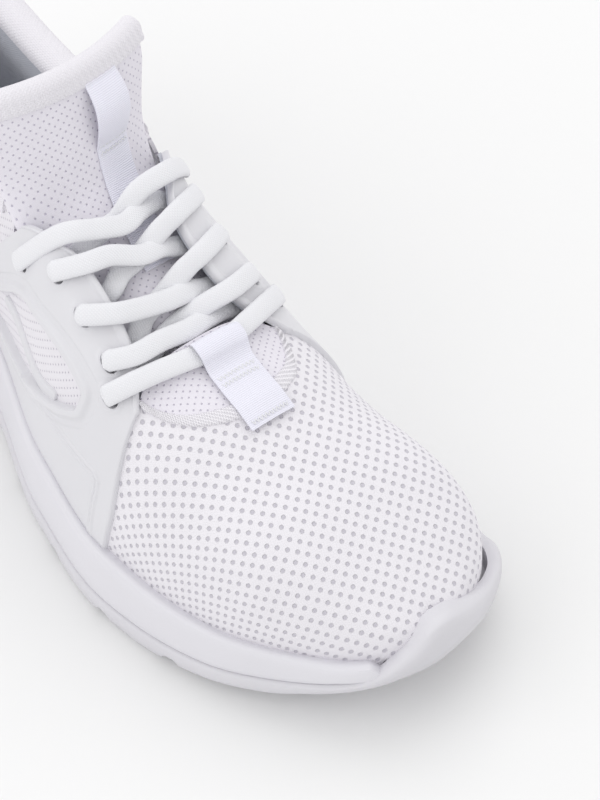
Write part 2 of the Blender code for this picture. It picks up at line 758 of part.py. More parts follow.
tongue_width = curve(TONGUE_HALF_WIDTH)
tongue_drop = curve(TONGUE_DROP)
TONGUE_COUNT = len(TONGUE_LINE) - 1
tongue_line_x = curve([(k / TONGUE_COUNT, p[0]) for k, p in enumerate(TONGUE_LINE)])
tongue_line_z = curve([(k / TONGUE_COUNT, p[1]) for k, p in enumerate(TONGUE_LINE)])


def tongue(v, w, height=0.0):
    """A point of the tongue; v runs from the throat to the top, w from -1 to 1 across."""
    v = np.asarray(v, float)
    w = np.asarray(w, float)
    x = tongue_line_x(v)
    z = tongue_line_z(v)
    near = np.clip(v, 0.01, 0.99)
    dx = tongue_line_x(near + 0.01) - tongue_line_x(near - 0.01)
    dz = tongue_line_z(near + 0.01) - tongue_line_z(near - 0.01)
    length = np.hypot(dx, dz)
    nx = dz / length
    nz = -dx / length
    half = tongue_width(v)
    slope = 2 * tongue_drop(v) * w / half
    lean = 1 / np.sqrt(1 + slope * slope)
    across = half * w + height * slope * lean
    sink = tongue_drop(v) * w * w - height * lean
    return np.stack([x - nx * sink, centre(np.clip(x, -40, 60)) + across, z - nz * sink], -1)


TONGUE_PIVOT = (49.0, -2.0, 73.5)
TONGUE_LAYERS = {"tongue_shell": (-1.0, 0.0, "knit"), "tongue_foam": (-5.2, -1.35, "padding"),
                 "tongue_lining": (-6.4, -5.55, "lining")}


def tongue_patch(name, v_range, w_range, heights, kind, rows, columns):
    v = np.linspace(*v_range, rows + 1)[:, None] + np.zeros(columns + 1)
    w = np.linspace(*w_range, columns + 1)[None, :] + np.zeros((rows + 1, 1))
    inner = np.broadcast_to(heights[0], v.shape)
    outer = np.broadcast_to(heights[1], v.shape)
    return thicken(name, tongue(v, w, outer), tongue(v, w, inner), kind, TONGUE_PIVOT)


def make_tongue():
    for name, (inner, outer, kind) in TONGUE_LAYERS.items():
        tongue_patch(name, (0.02, 0.955), (-1, 1), (inner, outer), kind, 14, 8)


def make_tongue_hem():
    """The stitched hem that closes the top edge of the tongue's layers."""
    profile = [(0.962, -6.2), (0.985, -6.6), (1.005, -5.2), (1.015, -3.0), (1.005, -0.9), (0.985, 0.3), (0.962, 0.0)]
    w = np.linspace(-1, 1, 13)
    rings = [tongue(v + 0 * w, w, height + 0 * w) for v, height in profile]
    closed_tube("tongue_hem", np.array(rings), "knit", TONGUE_PIVOT)


RIBBON_CENTRE = 0.3
RIBBON_HALF = 0.18


def make_pull_ribbon():
    """The woven pull loop: sewn to the tongue below, standing off it below the hem."""
    rows = 14
    v = np.linspace(0.50, 0.955, rows + 1)[:, None] + np.zeros(5)
    w = np.linspace(RIBBON_CENTRE - RIBBON_HALF, RIBBON_CENTRE + RIBBON_HALF, 5)[None, :] + np.zeros((rows + 1, 1))
    lift = 0.35 + 3.2 * np.clip(np.sin(np.pi * np.clip((v - 0.72) / 0.23, 0, 1)), 0, 1)
    thicken("tongue_pull_ribbon", tongue(v, w, lift + 0.7), tongue(v, w, lift), "ribbon", TONGUE_PIVOT)


# ---------------------------------------------------------------- lacing

def eyestay_point(x, turn, side, height):
    """A point over or under an eyestay; side is -1 for the outer one."""
    turn = turn if side < 0 else 1 - turn
    return upper(angle_of(x), turn, np.array(float(height)))


def throat_point(x, offset, height):
    """A point at a signed distance from the centre line, at a height over the shell's face."""
    turn = turn_at_width(x, abs(offset))
    turn = turn if offset < 0 else 1 - turn
    return upper(angle_of(x), turn, np.array(float(height)))


KEEPER_HALF = 7.6


def keeper_centre(x):
    """How far the keeper's middle is from the centre line."""
    return 3.2 - 0.08 * (x - 45.0)


def make_lace_keeper():
    """The ribbon that is sewn to the throat panel and loops over the lowest run of lace."""
    path = [(45.9, 1.0), (46.1, 3.6), (47.2, 5.9), (49.4, 7.0), (52.0, 6.4), (54.4, 4.0), (57.2, 1.9), (61.0, 1.45),
            (65.0, 1.45), (69.5, 1.45), (75.0, 1.45)]
    across = np.linspace(-KEEPER_HALF, KEEPER_HALF, 6)
    outer = np.array([[throat_point(x, keeper_centre(x) + y, d + 0.7) for y in across] for x, d in path])
    inner = np.array([[throat_point(x, keeper_centre(x) + y, d) for y in across] for x, d in path])
    thicken("lace_keeper", outer, inner, "ribbon")


HOLE_HEIGHTS = (5.5, 1.6, -1.6, -4.8)
OVER = 5.7
UNDER = -4.6
UPPER_CROSSING = 0.4
LOWER_CROSSING = -4.3
BAR_REST = 3.3


def hole_points(place, side):
    """The lace's way down through one eyelet."""
    x, turn = place
    return [eyestay_point(x, turn, side, height) for height in HOLE_HEIGHTS]


def strand(k, under):
    """From under one eyestay, out over the throat, to the outside of the next eyelet up on the other side."""
    start_x = EYELETS[under][k][0] - 0.5
    end_x = EYELETS[-under][k - 1][0]
    middle_x, land_x = CROSSINGS[under][k]
    height = UPPER_CROSSING if under > 0 else LOWER_CROSSING
    return [
        eyestay_point(start_x, eyestay_inner(start_x) - 0.030, under, UNDER - 0.6),
        eyestay_point(start_x, eyestay_inner(start_x) + 0.020, under, UNDER + 1.2),
        eyestay_point(mix(start_x, middle_x, 0.6), 0.455, under, height),
        eyestay_point(middle_x, 0.500, under, height),
        eyestay_point(land_x, 0.448, -under, mix(height, OVER, 0.5)),
        eyestay_point(mix(land_x, end_x, 0.35), eyestay_inner(land_x) - 0.004, -under, OVER),
    ]


CROSSINGS = {1: {4: (41.8, 40.6), 3: (33.0, 31.0), 2: (20.0, 16.0), 1: (11.0, 8.5)},
             -1: {4: (39.0, 38.0), 3: (31.5, 28.0), 2: (20.0, 16.5), 1: (9.0, 5.0)}}
BAR = [(46.8, -15.5, BAR_REST + 0.6), (48.6, -9.0, BAR_REST), (49.7, -3.0, BAR_REST), (49.8, 3.0, BAR_REST),
       (49.0, 9.0, BAR_REST), (46.8, 15.5, BAR_REST + 0.6)]


def lace_route():
    """One lace through all the eyelets, from one tucked end to the other."""
    def half(side):
        points = hole_points(EYELETS[side][4], side)
        for k in range(4, 0, -1):
            under = side if k % 2 == 0 else -side
            points += strand(k, under)
            points += hole_points(EYELETS[-under][k - 1], -under)
        x, turn = EYELETS[side][0]
        points.append(eyestay_point(x - 4.0, turn - 0.025, side, UNDER - 0.6))
        points.append(eyestay_point(x - 7.5, turn - 0.055, side, UNDER - 0.6))
        return points

    run = [eyestay_point(44.6, 0.345, -1, OVER)] + [throat_point(*place) for place in BAR]
    run.append(eyestay_point(43.4, 0.345, 1, OVER))
    return half(-1)[::-1] + run + half(1)


def smooth_route(points, spacing):
    """Points every so often along a smooth curve through the route's own points."""
    route = np.array(points)
    steps = np.linalg.norm(np.diff(route, axis=0), axis=1)
    along = np.concatenate([[0], np.cumsum(np.sqrt(steps))])
    fine = np.linspace(0, along[-1], 2400)
    curves = [curve(list(zip(along, route[:, k])), free=True) for k in range(3)]
    dense = np.stack([c(fine) for c in curves], -1)
    run = np.concatenate([[0], np.cumsum(np.linalg.norm(np.diff(dense, axis=0), axis=1))])
    places = np.linspace(0, run[-1], int(run[-1] / spacing) + 1)
    return np.stack([np.interp(places, run, dense[:, k]) for k in range(3)], -1)


def add_tube(name, points, radius, kind):
    data = bpy.data.curves.new(name, "CURVE")
    data.dimensions = "3D"
    data.bevel_depth = radius * MM
    data.bevel_resolution = 2
    data.use_fill_caps = True
    spline = data.splines.new("POLY")
    spline.points.add(len(points) - 1)
    for place, point in zip(spline.points, points):
        place.co = (*(np.array(point) * MM), 1)
    data.materials.append(material(kind))
    made = bpy.data.objects.new(name, data)
    bpy.context.scene.collection.objects.link(made)
    return made


def make_lacing():
    points = smooth_route(lace_route(), 4.6)
    add_tube("shoelace", points, LACE_RADIUS, "lace")
    for name, end, near in (("aglet_outer", points[0], points[1]), ("aglet_inner", points[-1], points[-2])):
        away = (end - near) / np.linalg.norm(end - near)
        start = end + away * 0.35
        closed_tube(name, rod_grid(start, start + away * 12.0, 1.5, 8), "tip")


def main():
    clear_scene()
    make_outsole()
    make_midsole()
    make_board()
    make_sockliner()
    make_toe_layers()
    make_throat_panel()
    make_vamp_seam()
    make_quarters()
    make_linings()
    make_collar()
    make_binding()
    make_heel_parts()
    make_saddles()
    make_eyelet_backings()
    make_emblem()
    make_tongue()
    make_tongue_hem()
    make_pull_ribbon()
    make_lace_keeper()
    make_lacing()


main()
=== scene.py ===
"""Looks for the running shoe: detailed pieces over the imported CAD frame, on a pale floor in soft light.

Shapes are worked out in millimetres, in the frame of the CAD model, and MM turns them into metres.
"""

import math

import bmesh
import bpy
import numpy as np
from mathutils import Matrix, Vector
from mathutils.kdtree import KDTree


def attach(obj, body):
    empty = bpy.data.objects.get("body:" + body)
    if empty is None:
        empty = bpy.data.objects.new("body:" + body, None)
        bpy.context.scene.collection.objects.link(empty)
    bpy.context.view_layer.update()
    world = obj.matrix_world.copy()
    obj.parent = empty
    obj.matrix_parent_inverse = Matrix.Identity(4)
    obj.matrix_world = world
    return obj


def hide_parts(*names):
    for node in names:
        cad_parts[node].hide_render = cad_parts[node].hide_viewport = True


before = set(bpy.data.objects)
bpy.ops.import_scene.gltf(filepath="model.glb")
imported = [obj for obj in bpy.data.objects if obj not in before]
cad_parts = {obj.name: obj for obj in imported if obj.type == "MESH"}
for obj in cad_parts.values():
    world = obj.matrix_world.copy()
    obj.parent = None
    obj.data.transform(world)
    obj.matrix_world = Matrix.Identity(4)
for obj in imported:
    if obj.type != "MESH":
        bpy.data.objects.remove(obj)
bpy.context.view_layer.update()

MM = 0.001
SHOE = "shoe_body"
TONGUE = "tongue"
INSOLE = "insole"

# --- the CAD model's own profiles and surfaces

HALF = 150.0
TOE_ROUND = 77.0
HEEL_ROUND = 52.0
CENTRE = [(-150, 0), (-100, 0), (-40, 4), (20, -4), (60, -1.0), (100, 5.5), (130, 11.5), (150, 8)]
HALF_WIDTH = [(-150, 41), (-100, 42), (-40, 37), (20, 45), (60, 52), (100, 51.5), (130, 51.5), (150, 47)]
GROUND = [
    (-150, 8), (-128, 1.5), (-112, 0), (-100, 0), (60, 0), (70, 0), (90, 2), (110, 5.5), (130, 11),
    (150, 19),
]
BED = [(-150, 29), (-110, 26), (-50, 23), (0, 18), (60, 14), (100, 15.5), (130, 21.5), (150, 29)]
RIM = [(-150, 47), (-110, 43), (-40, 36), (20, 32.4), (60, 28.2), (100, 25.5), (130, 26.5), (150, 33)]
BAND_OUTER_SIDE = [
    (-150, 17), (-125, 9.5), (-110, 8), (60, 8), (90, 10), (115, 14), (130, 18), (136, 20.5), (141, 23.6),
    (144.5, 27.2), (147, 31.5), (148.8, 36.5), (150, 43),
]
BAND_INNER_SIDE = [
    (-150, 17), (-125, 9.5), (-110, 8), (60, 8), (90, 10), (110, 13.5), (116, 15.5), (124, 21.0),
    (134, 25.6), (142, 30.5), (145, 34.0), (148, 38.5), (150, 43),
]
RIDGE = [
    (-120, 146), (-60, 142), (-30, 132), (-3, 119), (12, 111), (26, 102), (39, 93), (50, 85.5), (60, 79),
    (75, 71), (90, 65), (105, 59), (118, 52),
]
TOPLINE = [(-150, 101), (-130, 99), (-100, 92), (-75, 89), (-50, 90), (-30, 95), (-12, 101)]
GROOVES = (4.0, 32.0, 60.0, 88.0)
GROOVE_DEPTH = 2.2
UPPER_INSET = 6.0
OUTSOLE_FLOOR = 5.0
INNER_TUCK = 0.5
FOOT_RISE = 0.3
CLOTH_THICKNESS = 1.2
LINING_HEIGHTS = (-3.4, -4.5)
FACE = 0.6
SIDES = ((-1, "outer", "lateral"), (1, "inner", "medial"))
TOE_START = 80.0
HEEL_START = -90.0
TOE_SPINE = 118.0
TOE_POLE = 96.0
HEEL_SPINE = -120.0
SIDE_POWER = 2.5
CROWN_POWER = 2.3
OUTER_FULLNESS = (1.1, 0.7)
INNER_FULLNESS = (1.9, 1.3)
INNER_FALL = 3.0
THROAT_SINK = [
    (-34, 0), (-12, 4), (0, 6.5), (12, 7.5), (30, 7.2), (42, 6.6), (52, 4.6), (62, 1.5), (70, 0), (90, 0),
]
EYELETS = {-1: [(-5.0, 0.232), (9.5, 0.312), (23.0, 0.325), (36.5, 0.328), (43.0, 0.290)],
           1: [(-5.0, 0.245), (7.5, 0.285), (21.0, 0.300), (34.0, 0.300), (40.5, 0.272)]}
EYESTAY_INNER = [
    (-24, 0.190), (-12, 0.255), (-4, 0.305), (4.5, 0.352), (10, 0.383), (16, 0.398), (28, 0.404),
    (35.5, 0.399), (42, 0.384), (50, 0.338),
]
BACKING_OUTER = [(-12, 0.150), (-4, 0.190), (9.5, 0.240), (23.5, 0.258), (36, 0.260), (48, 0.232)]
VAMP_EDGE = [
    (0, 56), (0.05, 56), (0.13, 57), (0.23, 55), (0.29, 52.5), (0.335, 50.5), (0.363, 57), (0.393, 62.5),
    (0.43, 66.5), (0.5, 69.5), (0.57, 67), (0.607, 63.5), (0.637, 57.5), (0.665, 50.5), (0.71, 52.5),
    (0.77, 55), (0.87, 57), (0.95, 56), (1, 56),
]
TONGUE_LINE = [
    (51, 75), (40, 79.5), (26, 87), (12, 94), (1, 99), (-7, 105), (-13, 115), (-18, 126), (-22, 137.5),
]
TONGUE_HALF_WIDTH = [
    (0, 19), (0.25, 21.5), (0.42, 24), (0.52, 25.5), (0.62, 26.5), (0.72, 27.5), (0.8, 29), (0.9, 31),
    (1, 30),
]
TONGUE_DROP = [(0, 7), (0.3, 9), (0.5, 11), (0.62, 13), (0.72, 12.5), (0.8, 11), (1, 9)]
COLLAR_FRONT = -24.0


def level_slopes(xs, ys):
    """Slopes that keep a curve between its points: flat at a high, a low or a level stretch."""
    slopes = np.gradient(ys, xs)
    secants = np.diff(ys) / np.diff(xs)
    before = np.concatenate([secants[:1], secants])
    after = np.concatenate([secants, secants[-1:]])
    limit = 3 * np.minimum(np.abs(before), np.abs(after))
    return np.where(before * after <= 0, 0.0, np.clip(slopes, -limit, limit))


def curve(points, free=False):
    """A smooth function through points that are sorted by their first value."""
    xs = np.array([p[0] for p in points], float)
    ys = np.array([p[1] for p in points], float)
    slopes = np.gradient(ys, xs) if free else level_slopes(xs, ys)

    def value(x):
        x = np.asarray(x, float)
        i = np.clip(np.searchsorted(xs, x) - 1, 0, len(xs) - 2)
        step = xs[i + 1] - xs[i]
        s = np.clip((x - xs[i]) / step, 0, 1)
        rise = ys[i + 1] - ys[i]
        bend = s * (1 - s) ** 2 * slopes[i] - s ** 2 * (1 - s) * slopes[i + 1]
        past = np.minimum(x - xs[0], 0) * slopes[0] + np.maximum(x - xs[-1], 0) * slopes[-1]
        return ys[i] + rise * s * s * (3 - 2 * s) + step * bend + past

    return value


centre = curve(CENTRE)
half_width = curve(HALF_WIDTH)
ground = curve(GROUND)
bed = curve(BED)
rim = curve(RIM)
ridge = curve(RIDGE)
topline = curve(TOPLINE)
throat_sink = curve(THROAT_SINK)
band = {-1: curve(BAND_OUTER_SIDE), 1: curve(BAND_INNER_SIDE)}
vamp_edge = curve(VAMP_EDGE)
eyestay_inner = curve(EYESTAY_INNER)
backing_outer = curve(BACKING_OUTER)


def ease(low, high, x):
    """0 before low, 1 after high, smooth between."""
    s = np.clip((np.asarray(x, float) - low) / (high - low), 0, 1)
    return s * s * (3 - 2 * s)


def mix(a, b, k):
    return a + (b - a) * k


def end_round(fraction):
    """How far the width has closed, for a place from -1 at the heel to 1 at the toe."""
    toe = np.clip((fraction - 1) * HALF / TOE_ROUND + 1, 0, 1)
    heel = np.clip((-fraction - 1) * HALF / HEEL_ROUND + 1, 0, 1)
    return (1 - toe ** 2.3) ** 0.5115 * (1 - heel ** 2.4) ** 0.4167


def outline(angle, inset, side):
    """The plan outline moved in by inset; side is -1 for the outer side and 1 for the inner one."""
    x = -(HALF - inset) * np.cos(angle)
    y = centre(x) + side * (half_width(x) - inset) * end_round(-np.cos(angle))
    return x, y


def drawn_in(beyond, reach, length):
    """How far up the ridge a wall ends whose foot is this far into an end of the sole."""
    share = np.clip(beyond / reach, 0, 1)
    steepness = reach / length
    return length * (steepness * share - (steepness - 1) * share * share)


def spine_x(x):
    """Where on the ridge the wall that starts at x on the sole ends."""
    reach = HALF - UPPER_INSET
    toe = TOE_START + drawn_in(x - TOE_START, reach - TOE_START, TOE_SPINE - TOE_START)
    heel = HEEL_START - drawn_in(HEEL_START - x, reach + HEEL_START, HEEL_START - HEEL_SPINE)
    return np.where(x > TOE_START, toe, np.where(x < HEEL_START, heel, x))


def wall_point(angle, turn):
    """A point of the shell's outer face; turn runs from 0 (outer feather edge) over 0.5 (ridge) to 1."""
    foot_x = -(HALF - UPPER_INSET) * np.cos(angle)
    width = (half_width(foot_x) - UPPER_INSET) * end_round(-np.cos(angle))
    across = np.cos(np.pi * turn)
    full = ease(78, 125, foot_x)
    inner = np.where(turn > 0.5, 1.0, 0.0) * (1 - ease(138, 144, foot_x))
    side_power = SIDE_POWER + mix(OUTER_FULLNESS[0], INNER_FULLNESS[0], inner) * full
    crown_power = CROWN_POWER + mix(OUTER_FULLNESS[1], INNER_FULLNESS[1], inner) * full
    wall = np.abs(across) ** (2 / side_power)
    height = np.abs(np.sin(np.pi * turn)) ** (2 / crown_power)
    top_x = spine_x(foot_x)
    x = mix(top_x, foot_x, wall)
    y = mix(centre(top_x), centre(foot_x) - np.sign(across) * width, wall)
    base = bed(foot_x) + FOOT_RISE
    slope = (ridge(top_x) - ridge(top_x - 1.0)) * ease(80, 110, top_x)
    fall = INNER_FALL * ease(30, 50, foot_x) * (1 - ease(65, 90, foot_x))
    fall = fall * np.sin(np.pi * np.clip(turn * 2 - 1, 0, 1)) ** 2
    flat = throat_sink(np.clip(foot_x, -34, 90)) * ease(0.25, 0.42, np.minimum(turn, 1 - turn))
    z = base + (ridge(top_x) - base) * height + slope * (x - top_x) * height ** 2 - fall - flat
    return np.stack([x, y, z], -1)


def paired(a, b):
    return np.stack(np.broadcast_arrays(a, b), -1)


def unit(vectors):
    return vectors / np.maximum(np.linalg.norm(vectors, axis=-1, keepdims=True), 1e-6)


def wall_normal(angle, turn):
    angle = np.clip(angle, 0.03, np.pi - 0.03)
    turn = np.clip(turn, 0.004, 0.996)
    along = wall_point(angle + 0.004, turn) - wall_point(angle - 0.004, turn)
    around = wall_point(angle, turn + 0.002) - wall_point(angle, turn - 0.002)
    normal = np.cross(along, around)
    return normal / np.linalg.norm(normal, axis=-1, keepdims=True)


def upper(angle, turn, height=0.0):
    """A point at a height over the shell's outer face, inwards when the height is negative."""
    angle, turn = np.broadcast_arrays(np.asarray(angle, float), np.asarray(turn, float))
    normal = wall_normal(angle, turn)
    at_end = (np.abs(np.cos(angle)) > 0.999999)[..., None]
    shared = unit(normal + wall_normal(angle, 1 - turn))
    return wall_point(angle, turn) + np.where(at_end, shared, normal) * np.asarray(height, float)[..., None]


def on_side(turn, side):
    """A turn of the outer half, or its mirror place on the inner one."""
    return turn if side < 0 else 1 - turn


def angle_of(x):
    """The angle of the wall whose foot is at x."""
    return np.arccos(np.clip(-np.asarray(x, float) / (HALF - UPPER_INSET), -1, 1))


def foot_of(angle):
    return -(HALF - UPPER_INSET) * np.cos(angle)


def turn_at_height(x, z):
    """The turn on the outer half where the wall is this high."""
    base = bed(x) + FOOT_RISE
    h = np.clip((z - base) / (ridge(spine_x(np.asarray(x, float))) - base), 0, 1)
    return np.arcsin(h ** (CROWN_POWER / 2)) / np.pi


def turn_at_width(x, offset):
    """The turn on the outer half where the wall is this far from the centre line."""
    width = (half_width(x) - UPPER_INSET) * end_round(np.asarray(x, float) / (HALF - UPPER_INSET))
    return np.arccos(np.clip(offset / width, 0, 1) ** (SIDE_POWER / 2)) / np.pi


def run_lengths(points):
    return np.concatenate([[0], np.cumsum(np.linalg.norm(np.diff(points, axis=0), axis=-1))])


RIDGE_XS = np.linspace(-125, 125, 501)
RIDGE_RUN = run_lengths(np.stack([RIDGE_XS, ridge(RIDGE_XS)], -1))


def cloth_of(angles, turns):
    """Flat cloth coordinates in millimetres for places on the upper, unrolled from the ridge."""
    steps = [wall_point(angles, mix(0.5, turns, k)) for k in np.linspace(0, 1, 25)]
    run = np.sum([np.linalg.norm(high - low, axis=-1) for low, high in zip(steps, steps[1:])], axis=0)
    top = steps[0]
    way = unit(steps[-1][..., :2] - top[..., :2])
    along = np.interp(top[..., 0], RIDGE_XS, RIDGE_RUN)
    return np.stack([along + way[..., 0] * run, way[..., 1] * run], -1)


def toe_cloth(places):
    """Flat cloth coordinates for the toe box, unrolled from the top of the toe in every direction."""
    pole = np.array([TOE_POLE, float(centre(TOE_POLE)), float(ridge(TOE_POLE))])
    fall = float(ridge(TOE_POLE + 1) - ridge(TOE_POLE - 1)) / 2
    ahead = np.array([1.0, 0.0, fall]) / math.hypot(1.0, fall)
    out = np.array([-fall, 0.0, 1.0]) / math.hypot(1.0, fall)
    away = places - pole
    along = away @ ahead
    across = away[..., 1]
    drop = np.maximum(-(away @ out), 0)
    reach = np.maximum(np.hypot(along, across), 1e-6)
    dip = np.arctan2(drop, reach)
    arc = np.hypot(reach, drop) * np.where(dip > 1e-4, dip / np.maximum(np.sin(dip), 1e-6), 1.0)
    return np.stack([along / reach * arc, across / reach * arc], -1)


# --- meshes

WELD = 0.012
SHARP_DEGREES = 50

def new_object(name, points, faces, cloth, look, replaces, body=SHOE):
    """One piece from points in millimetres, with its cloth coordinates stored for the materials."""
    mesh = bpy.data.meshes.new(name)
    mesh.from_pydata((np.asarray(points, float) * MM).tolist(), [], faces)
    layer = mesh.attributes.new("cloth", "FLOAT_VECTOR", "POINT")
    flat = np.zeros((len(points), 3), np.float32)
    flat[:, :2] = cloth
    layer.data.foreach_set("vector", flat.ravel())
    work = bmesh.new()
    work.from_mesh(mesh)
    bmesh.ops.remove_doubles(work, verts=work.verts, dist=WELD * MM)
    bmesh.ops.recalc_face_normals(work, faces=work.faces)
    work.to_mesh(mesh)
    work.free()
    mesh.shade_smooth()
    mesh.set_sharp_from_angle(angle=math.radians(SHARP_DEGREES))
    mesh.materials.append(LOOKS[look])
    made = bpy.data.objects.new(name, mesh)
    bpy.context.scene.collection.objects.link(made)
    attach(made, body)
    if replaces:
        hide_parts(*replaces)
    return made


def thick(name, outer, inner, cloth, look, replaces, body=SHOE, folded=False):
    """A closed panel between two grids of points; when folded, its last column meets itself at the tip."""
    rows, columns = outer.shape[:2]
    count = rows * columns
    index = np.arange(count).reshape(rows, columns)
    faces = np.stack([index[:-1, :-1], index[:-1, 1:], index[1:, 1:], index[1:, :-1]], -1).reshape(-1, 4)
    back = faces[:, ::-1] + count
    loop = np.concatenate([index[0, :], index[1:, -1], index[-1, -2::-1], index[-2::-1, 0]])
    edge = np.stack([loop[1:], loop[:-1], loop[:-1] + count, loop[1:] + count], -1)
    if folded:
        edge = edge[~np.isin(edge[:, :2], index[:, -1]).all(axis=1)]
    points = np.concatenate([outer.reshape(-1, 3), inner.reshape(-1, 3)])
    flat = np.concatenate([cloth.reshape(-1, 2)] * 2)
    every = np.concatenate([faces, back, edge]).tolist()
    return new_object(name, points, every, flat, look, replaces, body)


def panel(name, angles, turns, outer, inner, look, slot, replaces, at_toe=False):
    """A panel of the upper between two heights over the shell's outer face."""
    cloth = toe_cloth(wall_point(angles, turns)) if at_toe else cloth_of(angles, turns)
    return thick(name, upper(angles, turns, outer), upper(angles, turns, inner), cloth, look, replaces,
                 folded=at_toe)


def ring_faces(along, around):
    """Quads between rings of points that follow each other."""
    index = np.arange(along * around).reshape(along, around)
    shifted = np.roll(index, -1, axis=1)
    return index, np.stack([index[:-1], shifted[:-1], shifted[1:], index[1:]], -1).reshape(-1, 4).tolist()


def tube(name, grid, around, along, look, replaces, body=SHOE):
    """A piece from rings of points, closed round each ring and capped at both ends."""
    index, faces = ring_faces(*grid.shape[:2])
    faces += [index[0, ::-1].tolist(), index[-1].tolist()]
    cloth = paired(along[:, None], around).reshape(-1, 2)
    return new_object(name, grid.reshape(-1, 3), faces, cloth, look, replaces, body)


def edge_distance(grid):
    """For each point of a panel's grid, how far it is from the panel's nearest edge, in millimetres."""
    down = np.linalg.norm(np.diff(grid, axis=0), axis=-1)
    across = np.linalg.norm(np.diff(grid, axis=1), axis=-1)
    from_top = np.concatenate([0 * down[:1], np.cumsum(down, axis=0)])
    from_left = np.concatenate([0 * across[:, :1], np.cumsum(across, axis=1)], axis=1)
    return from_top, from_top[-1] - from_top, from_left, from_left[:, -1:] - from_left


def rounded(distance, radius):
    """0 at an edge and 1 a radius inside it, on a quarter circle."""
    s = np.clip(distance / radius, 0, 1)
    return np.sqrt(np.clip(1 - (1 - s) ** 2, 0, 1))


def to_line(points, line):
    """Distance of each point of a grid from a polyline, in millimetres."""
    flat = points.reshape(-1, 3)
    best = np.full(len(flat), 1e9)
    for a, b in zip(line[:-1], line[1:]):
        step = b - a
        share = np.clip((flat - a) @ step / max(step @ step, 1e-9), 0, 1)
        best = np.minimum(best, np.linalg.norm(flat - a - share[:, None] * step, axis=-1))
    return best.reshape(points.shape[:-1])


def bump(distance, half):
    """A rounded bead of half width half."""
    return np.cos(np.clip(distance / half, 0, 1) * np.pi / 2) ** 2


# --- materials

class Look:
    """Builds one procedural material from small node steps."""

    def __init__(self, name, roughness, sheen=0.0, coat=0.0):
        self.made = bpy.data.materials.new(name)
        self.made.use_nodes = True
        self.tree = self.made.node_tree
        self.shader = self.tree.nodes["Principled BSDF"]
        settings = {"Roughness": roughness, "Sheen Weight": sheen, "Sheen Roughness": 0.45,
                    "Coat Weight": coat, "Specular IOR Level": 0.35}
        for socket, value in settings.items():
            self.shader.inputs[socket].default_value = value

    def node(self, kind, **values):
        made = self.tree.nodes.new(kind)
        for key, value in values.items():
            setattr(made, key, value)
        return made

    def link(self, start, end):
        self.tree.links.new(start, end)

    def math(self, operation, a, b=0.0, c=0.0):
        made = self.node("ShaderNodeMath", operation=operation)
        for socket, value in zip(made.inputs, (a, b, c)):
            if isinstance(value, (int, float)):
                socket.default_value = value
            else:
                self.link(value, socket)
        return made.outputs[0]

    def times(self, a, b):
        return self.math("MULTIPLY", a, b)

    def scaled(self, a, factor, add):
        """a times a factor, plus something."""
        return self.math("MULTIPLY_ADD", a, factor, add)

    def cloth(self):
        """The two cloth coordinates, in millimetres."""
        source = self.node("ShaderNodeAttribute", attribute_name="cloth")
        parts = self.node("ShaderNodeSeparateXYZ")
        self.link(source.outputs["Vector"], parts.inputs[0])
        return parts.outputs[0], parts.outputs[1]

    def noise(self, scale, detail=2.0):
        place = self.node("ShaderNodeTexCoord")
        made = self.node("ShaderNodeTexNoise")
        made.inputs["Scale"].default_value = scale
        made.inputs["Detail"].default_value = detail
        self.link(place.outputs["Object"], made.inputs["Vector"])
        return made.outputs["Fac"]

    def wave(self, value, period):
        """A cosine of a coordinate."""
        return self.math("COSINE", self.scaled(value, 2 * math.pi / period, 0.0))

    def step(self, value, low, high):
        """0 under low and 1 over high, smooth between."""
        made = self.node("ShaderNodeMapRange", interpolation_type="SMOOTHSTEP")
        made.inputs["From Min"].default_value = low
        made.inputs["From Max"].default_value = high
        self.link(value, made.inputs["Value"])
        return made.outputs["Result"]

    def blend(self, share, first, second):
        made = self.node("ShaderNodeMix", data_type="RGBA")
        self.link(share, made.inputs["Factor"])
        for socket, value in ((made.inputs["A"], first), (made.inputs["B"], second)):
            if isinstance(value, tuple):
                socket.default_value = (*value, 1)
            else:
                self.link(value, socket)
        return made.outputs["Result"]

    def finish(self, colour, height, depth_mm):
        """Sets the colour, and the height as bump of this depth."""
        self.link(colour, self.shader.inputs["Base Color"])
        lifted = self.node("ShaderNodeBump")
        lifted.inputs["Distance"].default_value = depth_mm * MM
        lifted.inputs["Strength"].default_value = 1.0
        self.link(height, lifted.inputs["Height"])
        self.link(lifted.outputs["Normal"], self.shader.inputs["Normal"])
        return self.made


def tint(look, colour, spread=0.02):
    """A colour that varies slightly from place to place."""
    light = tuple(min(1.0, c * (1 + spread)) for c in colour)
    dark = tuple(c * (1 - spread) for c in colour)
    return look.blend(look.noise(60, 3), dark, light)


def punched_cloth(name, colour, hole_shade, pitch, edges, depth, weave, roughness=0.85, sheen=0.15):
    """Knit or mesh with staggered holes; pitch is their spacing, edges the wave's values at a rim. The holes
    and the dips of the weave are painted in the second, darker colour: painted shade.
    """
    look = Look(name, roughness, sheen)
    along, across = look.cloth()
    lattice = look.times(look.wave(along, pitch[0]), look.wave(across, pitch[1]))
    inside = look.step(lattice, *edges)
    yarn = look.times(look.wave(along, weave), look.wave(across, weave))
    fine_noise = look.noise(900, 2)
    shade = tint(look, colour)
    # painted shade: the dips of the weave are painted a little towards the darker hole colour
    shade = look.blend(look.times(look.step(yarn, 0.2, 1.0), 0.16), shade, hole_shade)
    # painted shade: the holes are painted in the darker hole colour, its strength varied by fine noise
    shade = look.blend(look.times(inside, look.scaled(fine_noise, 0.3, 0.8)), shade, hole_shade)
    height = look.scaled(inside, -1.0, look.times(yarn, -0.12))
    return look.finish(shade, look.scaled(fine_noise, 0.12, height), depth)


